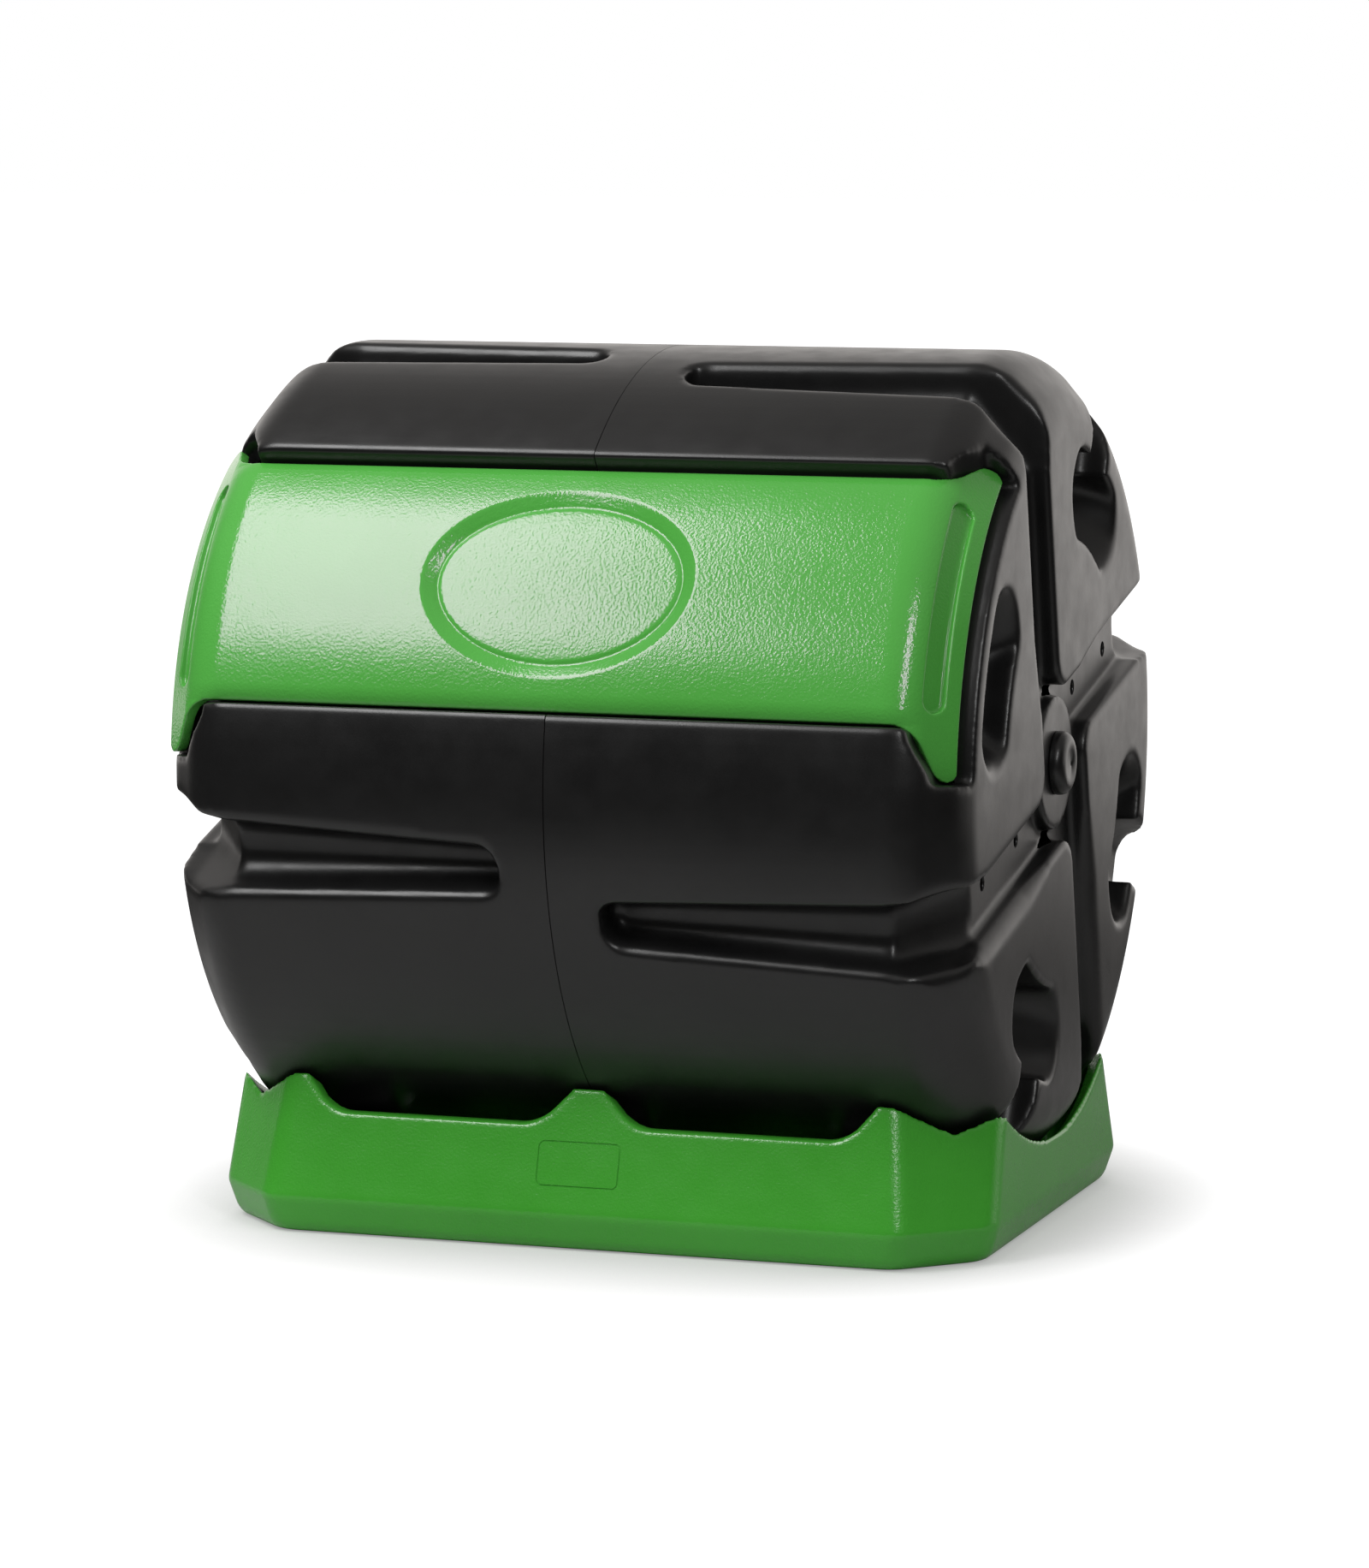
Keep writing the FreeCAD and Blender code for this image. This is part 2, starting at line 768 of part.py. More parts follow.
def make_base():
    """Tray with leaning walls, trimmed to the drum's round form, with dips between its horns."""
    body = new_body("base_tray")
    band_share = size.band_height / size.rim_height
    band_wall = size.foot_wall + (size.rim_wall - size.foot_wall) * band_share
    foot_corner, band_corner, rim_corner = size.foot_corner, size.band_corner, size.rim_corner
    levels = [(size.base_floor, size.foot_half_length, size.foot_half_width, foot_corner, size.foot_wall),
              (size.band_height, size.band_half_length, size.band_half_width, band_corner, band_wall),
              (size.rim_height, size.rim_half_length, size.rim_half_width, rim_corner, size.rim_wall)]
    corner_share = 2.0 - math.sqrt(2.0)
    outside, inside = [], []
    for i, (height, half_length, half_width, corner, wall) in enumerate(levels):
        ground = height if i else ZERO
        outside.append(eight_sides(body, f"outside_{i}", ground, half_length, half_width, corner))
        inside.append(eight_sides(body, f"inside_{i}", height, half_length - wall, half_width - wall,
                                  corner - wall * corner_share))
    lofted(body, "tray", outside)
    lofted(body, "tray_hollow", inside, cut=True)
    add_cheeks(body)
    cut_saddle(body)
    cut_dips(body)
    return body


def add_cheeks(body):
    """A pair of cheeks for each roller's pin, standing on the floor and joined to the wall."""
    start = -size.roller_pitch
    reach, rise = roller_reach(), roller_rise()
    top = rise + size.cheek_margin
    low = size.base_floor / 2
    block = new_sketch(body, "cheek_side", "YZ_Plane", lift=start)
    add_outline(block, [(-(size.foot_half_width - size.foot_wall / 2), low),
                        (-(size.band_half_width - size.foot_wall / 2), size.band_height),
                        (-size.rim_half_width, top), (-(reach - size.cheek_margin), top),
                        (-(reach - size.roller_radius * 2), low)])
    inner_width = size.roller_length + size.roller_side_gap * 2
    width = inner_width + size.cheek_thickness * 2
    cheeks = prism(body, "cheeks", block, width, both_ways=True)
    slot = new_sketch(body, "roller_slot", "YZ_Plane", lift=start)
    room = -(reach + size.roller_radius + size.cheek_thickness / 2)
    past = -(reach - size.roller_radius * 3)
    add_outline(slot, [(room, size.base_floor), (past, size.base_floor), (past, size.rim_height),
                       (room, size.rim_height)])
    slots = prism(body, "slots", slot, inner_width, cut=True, both_ways=True)
    hole = add_circle(new_sketch(body, "pin_hole", "YZ_Plane", lift=start), -reach, rise,
                      size.pin_radius + size.pin_gap)
    holes = prism(body, "pin_holes", hole, width * 2, cut=True, both_ways=True)
    pattern = body.newObject("PartDesign::MultiTransform", "all_cheeks")
    pattern.Originals = [cheeks, slots, holes]
    row = body.newObject("PartDesign::LinearPattern", "cheek_row")
    row.Direction = (hole, ["N_Axis"])
    row.Occurrences = HORNS
    bind(row, "Length", size.roller_pitch * 2)
    other_side = body.newObject("PartDesign::Mirrored", "cheeks_behind")
    other_side.MirrorPlane = (origin_plane(body, "XZ_Plane"), [""])
    pattern.Transformations = [row, other_side]
    finish_feature(body, pattern)


def cut_saddle(body):
    """Trims every wall to the drum's round form plus a gap, which opens out past the shoulder."""
    radius = size.drum_radius + size.saddle_gap
    shoulder = size.drum_half_length - size.chamfer_length + size.saddle_gap
    end = size.drum_half_length + OVERRUN
    end_radius = size.drum_radius + size.saddle_end_gap - (end - shoulder) * chamfer_slope()
    right = [(shoulder, radius), (end, end_radius)]
    corners = mirrored(right)[::-1] + right + [(end, ZERO), (-end, ZERO)]
    sketch = new_sketch(body, "saddle_outline", "XZ_Plane")
    add_outline(sketch, [(along, size.axis_height - radius) for along, radius in corners])
    axis = sketch.addGeometry(Part.LineSegment(Vector(-1, size.axis_height.value, 0),
                                               Vector(1, size.axis_height.value, 0)), True)
    pin_point(sketch, axis, (fixed(-1.0), size.axis_height))
    sketch.addConstraint(Sketcher.Constraint("Horizontal", axis))
    feature = body.newObject("PartDesign::Groove", "saddle")
    feature.Profile = sketch
    feature.ReferenceAxis = (sketch, ["Axis0"])
    feature.Angle = FULL_TURN
    finish_feature(body, feature)


def cut_dips(body):
    """Lowers the long walls between the horns, front and back alike."""
    top = size.rim_height + OVERRUN
    middle_top, middle_foot = size.horn_half_top, size.horn_half_foot
    corner_top = size.horn_pitch - size.corner_horn_top
    corner_foot = size.horn_pitch - size.corner_horn_foot
    right = [(middle_foot, size.dip_height), (corner_foot, size.dip_height), (corner_top, size.rim_height),
             (corner_top, top), (middle_top, top), (middle_top, size.rim_height)]
    sketch = new_sketch(body, "dip_outline", "XZ_Plane")
    add_outline(sketch, right)
    add_outline(sketch, mirrored(right))
    prism(body, "dips", sketch, size.foot_half_width * 3, cut=True, both_ways=True)


def make_rollers():
    """Roller and pin behind each of six places along the walls."""
    half = size.roller_length / 2
    bore = size.pin_radius + size.pin_gap
    edge = size.roller_radius - size.roller_crown
    roller = new_body("roller")
    turned(roller, "tread", [(-half, bore), (-half, edge), (-(half - size.roller_crown), size.roller_radius),
                             (half - size.roller_crown, size.roller_radius), (half, edge), (half, bore)])
    cheek = half + size.roller_side_gap + size.cheek_thickness
    tail = -(cheek + size.pin_head_height)
    head = cheek + size.pin_head_height
    pin = new_body("roller_pin")
    turned(pin, "shaft", [(tail, ZERO), (tail, size.pin_radius), (cheek, size.pin_radius),
                          (cheek, size.pin_head_radius), (head, size.pin_head_radius), (head, ZERO)])
    made = []
    for row, across in (("front", -roller_reach()), ("rear", roller_reach())):
        for column, along in (("left", -size.roller_pitch), ("middle", ZERO), ("right", size.roller_pitch)):
            where = turn_about_x(ZERO, (along, across, roller_rise()))
            made.append(copy_of(f"roller_{row}_{column}", roller, where))
            made.append(copy_of(f"roller_pin_{row}_{column}", pin, where))
    return made


def check_and_write(nodes):
    """Stops on any broken feature, then writes each piece to a file of its own."""
    doc.recompute()
    for item in doc.Objects:
        if "Invalid" in item.State or "Error" in item.State:
            raise RuntimeError(f"{item.Label}: {item.State}")
        shape = getattr(item, "Shape", None)
        if shape is not None and item in nodes and (shape.isNull() or not shape.isValid()):
            raise RuntimeError(f"{item.Label}: broken shape")
    os.makedirs("parts", exist_ok=True)
    for node in nodes:
        node.Shape.exportStep(os.path.join("parts", node.Label + ".step"))


def main():
    nodes = make_drum_halves() + [make_lid()] + make_hub_caps() + make_seam_fasteners()
    nodes += [make_base()] + make_rollers()
    check_and_write(nodes)
    for node in nodes:
        print(node.Label, len(node.Shape.Solids), round(node.Shape.Volume / 1000.0, 1))


main()
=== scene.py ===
"""Rolling composter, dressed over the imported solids.

A black two-part drum with drafted grooves, hand grips and a green lift-off lid turns in a low green
tray with horns. Everything is in metres in the frame of the solids: X along the drum's axis, -Y the
front, +Z up. Angles round the drum are counted from +Z towards the front.
"""
import logging
import math
from dataclasses import dataclass
from enum import Enum
from typing import Callable, Iterable, Sequence

import bmesh
import bpy
from mathutils import Matrix, Vector
from mathutils.bvhtree import BVHTree
from mathutils.interpolate import poly_3d_calc


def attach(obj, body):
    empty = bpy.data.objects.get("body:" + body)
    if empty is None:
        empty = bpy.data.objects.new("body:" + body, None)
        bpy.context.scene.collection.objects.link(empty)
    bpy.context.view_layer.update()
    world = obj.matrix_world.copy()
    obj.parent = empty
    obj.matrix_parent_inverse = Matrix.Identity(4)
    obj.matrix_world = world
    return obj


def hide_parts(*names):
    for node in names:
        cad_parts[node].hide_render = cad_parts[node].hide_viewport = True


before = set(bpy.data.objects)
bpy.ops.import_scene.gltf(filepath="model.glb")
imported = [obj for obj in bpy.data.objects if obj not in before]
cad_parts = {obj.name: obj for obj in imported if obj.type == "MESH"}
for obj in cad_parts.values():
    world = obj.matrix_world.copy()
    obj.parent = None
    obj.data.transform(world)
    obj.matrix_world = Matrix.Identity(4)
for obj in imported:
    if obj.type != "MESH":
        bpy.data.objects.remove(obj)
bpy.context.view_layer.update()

LOG = logging.getLogger("composter")

# Sizes that several pieces share: the height of the drum's axis and the direction of the lid.
AXIS_HEIGHT = 0.3395
LID_TURN = 59.75

# Distances below a hair count as none, and an edge that bends more than sharp is a corner, in radians.
HAIR = 1e-6
SHARP = 0.8

# A quarter turn in degrees, the strength of one smoothing, plain white and what the key lamps face.
QUARTER = 90.0
SMOOTHING = 0.5
WHITE = (1.0, 1.0, 1.0)
KEY_AIM = (-0.1885, -0.271, 0.4345)

Spot = Sequence[float]
Pair = tuple[float, float]
Colour = tuple[float, float, float]
Outline = Sequence[Pair]
EdgeTest = Callable[[bmesh.types.BMEdge], bool]
Socket = bpy.types.NodeSocket


class Way(Enum):
    """What is done with a second solid."""

    CUT = "DIFFERENCE"
    ADD = "UNION"


class Solver(Enum):
    """How two solids are combined: plain for few faces, dense for many."""

    PLAIN = "EXACT"
    DENSE = "MANIFOLD"


class Side(Enum):
    """The two ends of the drum."""

    RIGHT = "right"
    LEFT = "left"


class Change(Enum):
    """How one level goes over into another."""

    EVEN = "LINEAR"
    SMOOTH = "SMOOTHSTEP"


def turn_x(degrees: float) -> Matrix:
    """A turn about the drum's axis, from +Z towards the front."""
    return Matrix.Rotation(math.radians(degrees), 4, "X")


def on_axis(along: float = 0.0) -> Matrix:
    """A lift to the drum's axis, and some way along it."""
    return Matrix.Translation((along, 0, AXIS_HEIGHT))


class Work:
    """One solid on the bench: a mesh object that is cut, joined, softened and at last finished."""

    def __init__(self, name: str, form: bmesh.types.BMesh) -> None:
        """Puts a closed bmesh into an object.

        Args:
            name: the piece's name.
            form: the bmesh, which is freed here.
        """
        bmesh.ops.remove_doubles(form, verts=form.verts, dist=HAIR)
        bmesh.ops.recalc_face_normals(form, faces=form.faces)
        mesh = bpy.data.meshes.new(name)
        form.to_mesh(mesh)
        form.free()
        self.obj = bpy.data.objects.new(name, mesh)
        bpy.context.scene.collection.objects.link(self.obj)

    def copy(self, name: str) -> "Work":
        """A second solid of the same form and shading.

        Args:
            name: the new piece's name.

        Returns:
            The second solid.
        """
        other = Work(name, bmesh.new())
        other.obj.data = self.obj.data.copy()
        return other

    def move(self, place: Matrix) -> "Work":
        """Moves the mesh itself, so that the object stays at the origin."""
        self.obj.data.transform(place)
        return self

    def round_edges(self, wanted: EdgeTest, radius: float, segments: int = 6) -> "Work":
        """Rounds the edges that a test picks.

        Args:
            wanted: the test.
            radius: how far the rounding reaches.
            segments: facets across it.

        Returns:
            This solid.
        """
        form = bmesh.new()
        form.from_mesh(self.obj.data)
        picked = [edge for edge in form.edges if wanted(edge)]
        bmesh.ops.bevel(form, geom=picked, affect="EDGES", offset=radius, segments=segments, profile=0.5,
                        material=-1)
        form.to_mesh(self.obj.data)
        form.free()
        return self

    def apply(self, kind: str, **settings: object) -> "Work":
        """Makes a modifier's result the mesh.

        Args:
            kind: the modifier's type.
            settings: its properties.

        Returns:
            This solid.
        """
        step = self.obj.modifiers.new(kind.lower(), kind)
        for name, value in settings.items():
            setattr(step, name, value)
        graph = bpy.context.evaluated_depsgraph_get()
        mesh = bpy.data.meshes.new_from_object(self.obj.evaluated_get(graph), depsgraph=graph)
        old = self.obj.data
        self.obj.modifiers.clear()
        self.obj.data = mesh
        bpy.data.meshes.remove(old)
        return self

    def combine(self, others: Iterable["Work"], way: Way = Way.CUT, solver: Solver = Solver.PLAIN) -> "Work":
        """Cuts or adds other solids, which are used up.

        Args:
            others: the solids to combine with this one.
            way: cut or add.
            solver: plain for few faces, dense for many.

        Returns:
            This solid.
        """
        for other in others:
            self.apply("BOOLEAN", operation=way.value, solver=solver.value, object=other.obj)
            other.scrap()
        return self

    def soften(self, grain: float, rounds: int) -> "Work":
        """Rebuilds the surface in even facets and rounds its edges, as a mould leaves them.

        Args:
            grain: facet size.
            rounds: how often the surface is smoothed.

        Returns:
            This solid.
        """
        return self.apply("REMESH", mode="VOXEL", voxel_size=grain).ease(rounds)

    def ease(self, rounds: int) -> "Work":
        """Smooths the surface a number of times."""
        return self.apply("SMOOTH", factor=SMOOTHING, iterations=rounds)

    def thin(self, share: float) -> "Work":
        """Keeps that share of the facets, most of them where the form bends."""
        return self.apply("DECIMATE", ratio=share)

    def trim_flaps(self) -> "Work":
        """Takes away faces that share all their corners, which a cut can leave as a flap.

        Returns:
            This solid.
        """
        form = bmesh.new()
        form.from_mesh(self.obj.data)
        same = bmesh.ops.find_doubles(form, verts=form.verts, dist=2 * HAIR)["targetmap"]
        twins: dict[frozenset[bmesh.types.BMVert], list[bmesh.types.BMFace]] = {}
        for face in form.faces:
            twins.setdefault(frozenset(same.get(vert, vert) for vert in face.verts), []).append(face)
        flaps = [face for faces in twins.values() if len(faces) > 1 for face in faces]
        bmesh.ops.delete(form, geom=flaps, context="FACES")
        form.to_mesh(self.obj.data)
        form.free()
        return self

    def shade_from(self, fine: "Work", reach: float = 0.002, close: float = 0.75) -> "Work":
        """Takes over the surface directions of a finer solid, so that few facets shade as smoothly as many.

        Args:
            fine: the finer solid, which is used up.
            reach: how far from it a corner may lie.
            close: how well a facet has to agree with it, as a cosine.

        Returns:
            This solid.
        """
        mesh, source = self.obj.data, fine.obj.data
        rings = [tuple(face.vertices) for face in source.polygons]
        spots = [vert.co.copy() for vert in source.vertices]
        slopes = [vert.normal.copy() for vert in source.vertices]
        tree = BVHTree.FromPolygons(spots, rings)
        found: list[Vector | None] = []
        for vert in mesh.vertices:
            spot, _, face, _ = tree.find_nearest(vert.co, reach)
            if face is None:
                found.append(None)
                continue
            shares = poly_3d_calc([spots[corner] for corner in rings[face]], spot)
            slope = sum((slopes[corner] * share for corner, share in zip(rings[face], shares)), Vector())
            found.append(slope.normalized())
        mesh.shade_smooth()
        corners = []
        for face in mesh.polygons:
            for corner in face.vertices:
                slope = found[corner]
                kept = slope is not None and slope.dot(face.normal) > close
                corners.append(slope if kept else Vector())
        mesh.normals_split_custom_set(corners)
        fine.scrap()
        return self

    def bend(self, rule: Callable[[Vector], Vector]) -> "Work":
        """Moves every point by a rule.

        Args:
            rule: gives a point's new place.

        Returns:
            This solid.
        """
        for vert in self.obj.data.vertices:
            vert.co = rule(vert.co)
        return self

    def scrap(self) -> None:
        """Takes the solid off the bench."""
        mesh = self.obj.data
        bpy.data.objects.remove(self.obj)
        bpy.data.meshes.remove(mesh)

    def finish(self, body: str, slot: str, material: bpy.types.Material, nodes: Sequence[str] = ()) -> None:
        """Shades, paints and hands the piece over to its body.

        Args:
            body: the body that it rides on.
            slot: the record's material slot; not used.
            material: its finish.
            nodes: the solids that it stands for.
        """
        self.obj.data.materials.clear()
        self.obj.data.materials.append(material)
        self.obj.data.shade_smooth()
        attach(self.obj, body)
        if nodes:
            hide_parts(*nodes)
        self.obj.data.calc_loop_triangles()
        LOG.info("%s: %d triangles", self.obj.name, len(self.obj.data.loop_triangles))


def flat_face(form: bmesh.types.BMesh, spots: Iterable[Spot], rounds: dict[int, float] | None = None,
              segments: int = 6) -> bmesh.types.BMFace:
    """One face through the given corners, with some of the corners rounded.

    Args:
        form: the empty bmesh that gets the face.
        spots: corners in order.
        rounds: radius by corner number.
        segments: facets in each rounded corner.

    Returns:
        The face.
    """
    verts = [form.verts.new(spot) for spot in spots]
    form.faces.new(verts)
    for number, radius in (rounds or {}).items():
        bmesh.ops.bevel(form, geom=[verts[number]], affect="VERTICES", offset=radius, segments=segments,
                        profile=0.5, material=-1)
    return next(iter(form.faces))


def lathe(name: str, outline: Outline, rounds: dict[int, float] | None = None, steps: int = 128) -> Work:
    """Full turn about X of an outline that starts and ends on the axis.

    Args:
        name: the piece's name.
        outline: (along, radius) corners in order.
        rounds: radius by corner number.
        steps: facets round the axis.

    Returns:
        The turned solid.
    """
    form = bmesh.new()
    face = flat_face(form, [(along, 0.0, radius) for along, radius in outline], rounds)
    bmesh.ops.delete(form, geom=[face], context="FACES_ONLY")
    on_line = [edge for edge in form.edges if all(vert.co.z < HAIR for vert in edge.verts)]
    bmesh.ops.delete(form, geom=on_line, context="EDGES")
    bmesh.ops.spin(form, geom=[*form.verts, *form.edges], cent=(0, 0, 0), axis=(1, 0, 0), angle=math.tau,
                   steps=steps, use_merge=True)
    return Work(name, form)


def rod(name: str, start: float, end: float, radius: float, steps: int) -> Work:
    """A round rod on the X axis.

    Args:
        name: the piece's name.
        start: where it begins along the axis.
        end: where it ends.
        radius: its radius.
        steps: facets round the axis.

    Returns:
        The rod.
    """
    return lathe(name, [(start, 0.0), (start, radius), (end, radius), (end, 0.0)], steps=steps)


def sector(name: str, outline: Outline, middle: float, sweep: float, steps: int = 32) -> Work:
    """Part of a turn about X of a closed outline.

    Args:
        name: the piece's name.
        outline: (along, radius) corners in order.
        middle: direction of its middle, in degrees.
        sweep: whole angle, in degrees.
        steps: facets over the angle.

    Returns:
        The solid.
    """
    form = bmesh.new()
    face = flat_face(form, [(along, 0.0, radius) for along, radius in outline])
    bmesh.ops.rotate(form, verts=form.verts, cent=(0, 0, 0), matrix=turn_x(middle - sweep / 2).to_3x3())
    bmesh.ops.spin(form, geom=[face, *face.edges, *face.verts], cent=(0, 0, 0), axis=(1, 0, 0),
                   angle=math.radians(sweep), steps=steps)
    return Work(name, form)


def slab(name: str, spots: Iterable[Spot], reach: Spot, rounds: dict[int, float] | None = None,
         segments: int = 8) -> Work:
    """A flat outline drawn out along one line.

    Args:
        name: the piece's name.
        spots: corners in order.
        reach: how far it is drawn out, as a vector.
        rounds: radius by corner number.
        segments: facets in each rounded corner.

    Returns:
        The solid.
    """
    form = bmesh.new()
    face = flat_face(form, spots, rounds, segments)
    grown = bmesh.ops.extrude_face_region(form, geom=[face])
    corners = [item for item in grown["geom"] if isinstance(item, bmesh.types.BMVert)]
    bmesh.ops.translate(form, verts=corners, vec=reach)
    return Work(name, form)


def key(spot: Spot) -> tuple[float, ...]:
    """A spot to the micrometre, to look it up by."""
    return tuple(round(part, 6) for part in spot)


def loft(name: str, sections: Sequence[Sequence[Spot]]) -> Work:
    """Solid through sections with equal numbers of corners, each drawn out of the one before.

    Args:
        name: the piece's name.
        sections: corners of each section, in order.

    Returns:
        The solid.
    """
    form = bmesh.new()
    face = bottom = flat_face(form, sections[0])
    for last, section in zip(sections, sections[1:]):
        grown = bmesh.ops.extrude_face_region(form, geom=[face])
        if face.is_valid and face is not bottom:
            bmesh.ops.delete(form, geom=[face], context="FACES_ONLY")
        face = next(item for item in grown["geom"] if isinstance(item, bmesh.types.BMFace))
        moved = {key(old): new for old, new in zip(last, section)}
        for vert in face.verts:
            vert.co = moved[key(vert.co)]
    return Work(name, form)


def filleted(corners: Outline, radii: Sequence[float], count: int = 6, most: float = 0.49) -> list[Vector]:
    """A closed outline with rounded corners.

    Args:
        corners: the corners in order.
        radii: the rounding of each, 0 for a sharp one.
        count: points on each rounding.
        most: the share of a side that a rounding may take.

    Returns:
        The points of the new outline.
    """
    spots = []
    for number, radius in enumerate(radii):
        here = Vector(corners[number])
        back = Vector(corners[number - 1]) - here
        ahead = Vector(corners[(number + 1) % len(corners)]) - here
        if radius <= 0.0:
            spots.append(here)
            continue
        half = back.angle(ahead) / 2
        start = min(radius / math.tan(half), most * back.length, most * ahead.length)
        back, ahead = back.normalized(), ahead.normalized()
        bulge = start * math.tan(half)
        middle = here + (back + ahead).normalized() * (bulge / math.sin(half))
        first, last = here + back * start - middle, here + ahead * start - middle
        for step in range(count):
            share = step / (count - 1)
            spots.append(middle + (first * (1.0 - share) + last * share).normalized() * bulge)
    return spots


def quarter_inset(radius: float, along: float) -> float:
    """How far a quarter round of a radius stands in, some way along from its end."""
    left = max(radius - along, 0.0)
    return radius - math.sqrt(radius * radius - left * left)


def between(first: float, last: float, share: float) -> float:
    """The value at a share of the way from a first to a last one, kept between them."""
    return first + (last - first) * min(max(share, 0.0), 1.0)


def eased(share: float) -> float:
    """A share from 0 to 1 that starts and ends gently."""
    share = between(0.0, 1.0, share)
    return share * share * (3.0 - 2.0 * share)


def mitre(skin: float) -> float:
    """How far a skin moves a bend of about 45 degrees along the surface."""
    return skin * math.tan(math.radians(22.5))


def swung(outline: Outline, degrees: float) -> list[Spot]:
    """An outline of (along, radius) corners, stood up at an angle round the drum."""
    turn = turn_x(degrees)
    return [tuple(turn @ Vector((along, 0.0, radius))) for along, radius in outline]


def ring_spots(half_length: float, half_width: float, height: float, count: int = 72) -> list[Spot]:
    """Corners of a level oval."""
    angles = [math.tau * step / count for step in range(count)]
    return [(half_length * math.cos(angle), half_width * math.sin(angle), height) for angle in angles]


@dataclass
class DrumHalf:
    """One half of the drum in its own frame: axis on X, seam at X 0, first groove towards +Z."""

    radius: float = 0.300
    length: float = 0.298
    chamfer_length: float = 0.036
    chamfer_drop: float = 0.040
    shoulder_round: float = 0.016
    wall: float = 0.004
    seam: float = 0.0004
    groove_turn: float = 12.75
    groove_start: float = 0.036
    groove_stops: tuple[float, ...] = (0.0006, 0.002, 0.0045, 0.008, 0.012, 0.0165)
    groove_floor: float = 0.268
    ramp_start: float = 0.242
    ramp_foot: float = 0.212
    near: Pair = (0.016, 0.007)
    far: Pair = (0.042, 0.056)
    blind_round: Pair = (0.008, 0.016)
    blind_floor_round: float = 0.010
    floor_round: float = 0.026
    floor_share: float = 0.46
    lip: float = 0.008
    least_lip: float = 0.003
    lip_start: float = 0.15
    lip_run: float = 0.012
    lip_reach: float = 1.8
    bend_share: float = 0.7
    draft: float = 0.003
    channel_depth: float = 0.0165
    lobe_round: float = 0.022
    least_lobe_round: float = 0.010
    edge_rounds: Outline = ((0.058, 0.004), (0.085, 0.009), (0.115, 0.014), (0.360, 0.014))
    least_edge_round: float = 0.002
    edge_steps: int = 7
    edge_past: Pair = (0.010, 0.004)
    hub_radius: float = 0.049
    hub_rise: float = 0.0092
    hub_root: float = 0.010
    bore: float = 0.012
    grip_turn: float = 54.25
    grip_sweep: float = 42.0
    grip_radii: Pair = (0.165, 0.232)
    grip_depth: float = 0.045
    grip_ramp: float = 0.048
    grip_round: float = 0.034
    grip_bowl: float = 0.8
    grip_tip: float = 0.002
    grip_past: float = 0.002
    grip_steps: int = 32
    notch_depth: float = 0.030
    notch_width: float = 0.050
    notch_round: float = 0.014
    seat: float = 0.2817
    recess_fold: float = 0.2507
    recess_foot: float = 0.249
    recess_sweep: float = 39.4
    ear_starts: Pair = (0.2595, 0.2755)
    ear_sweep: float = 55.0
    ear_steps: int = 36
    mouth_length: float = 0.236
    mouth_foot: float = 0.210
    mouth_sweep: float = 31.0
    mouth_round: float = 0.020
    flange: Pair = (0.005, 0.024)
    flange_gap: float = 0.00005
    flange_clear: float = 2.0
    vent_radius: float = 0.006
    vent_reaches: Pair = (0.087, 0.179)
    vent_offset: float = 0.029
    drill: Pair = (0.2, 0.4)
    past: float = 0.040
    around: float = 0.5
    facet: float = 0.0022
    facet_rounds: int = 8
    shade_rounds: int = 7
    kept_share: float = 0.26
    inner_facet: float = 0.008
    inner_rounds: int = 2

    @property
    def slope(self) -> float:
        """Drop of the shoulder for each step along the axis."""
        return self.chamfer_drop / self.chamfer_length

    @property
    def lid_middle(self) -> float:
        """Direction of the lid in the half's own frame."""
        return LID_TURN - self.groove_turn

    def right_place(self) -> Matrix:
        """Where the right half stands."""
        return on_axis() @ turn_x(self.groove_turn)

    def left_place(self) -> Matrix:
        """Where the same half stands after half a turn about the middle line of the lid."""
        flip = turn_x(LID_TURN) @ Matrix.Rotation(math.pi, 4, "Z") @ turn_x(-LID_TURN)
        return on_axis() @ flip @ turn_x(self.groove_turn)

    def form(self, skin: float) -> Work:
        """Closed form of the half, set in by a skin.

        Args:
            skin: how far inside the outer surface.

        Returns:
            The solid, longer than the half at the seam.
        """
        start, end = -self.past - skin, self.length - skin
        radius = self.radius - skin
        shoulder = self.length - self.chamfer_length - mitre(skin)
        face = self.radius - self.chamfer_drop - mitre(skin)
        barrel = lathe("barrel", [(start, 0.0), (start, radius), (shoulder, radius), (end, face), (end, 0.0)],
                       {2: self.shoulder_round, 3: self.shoulder_round}, steps=160)
        barrel.combine([self.groove(number, skin) for number in range(4)], solver=Solver.DENSE)
        barrel.combine([self.channels(skin)], solver=Solver.DENSE)
        barrel.combine([self.soft_edge(number, skin) for number in range(4)], solver=Solver.DENSE)
        floor = end - self.channel_depth
        disc = rod("hub", floor - self.hub_root, floor + self.hub_rise, self.hub_radius - skin, steps=64)
        barrel.combine([disc], Way.ADD, Solver.DENSE)
        barrel.combine([self.grip(number, skin) for number in range(4)], solver=Solver.DENSE)
        barrel.combine([self.notch(number, skin) for number in range(1, 4)], solver=Solver.DENSE)
        return barrel.combine(self.recesses(skin), solver=Solver.DENSE)

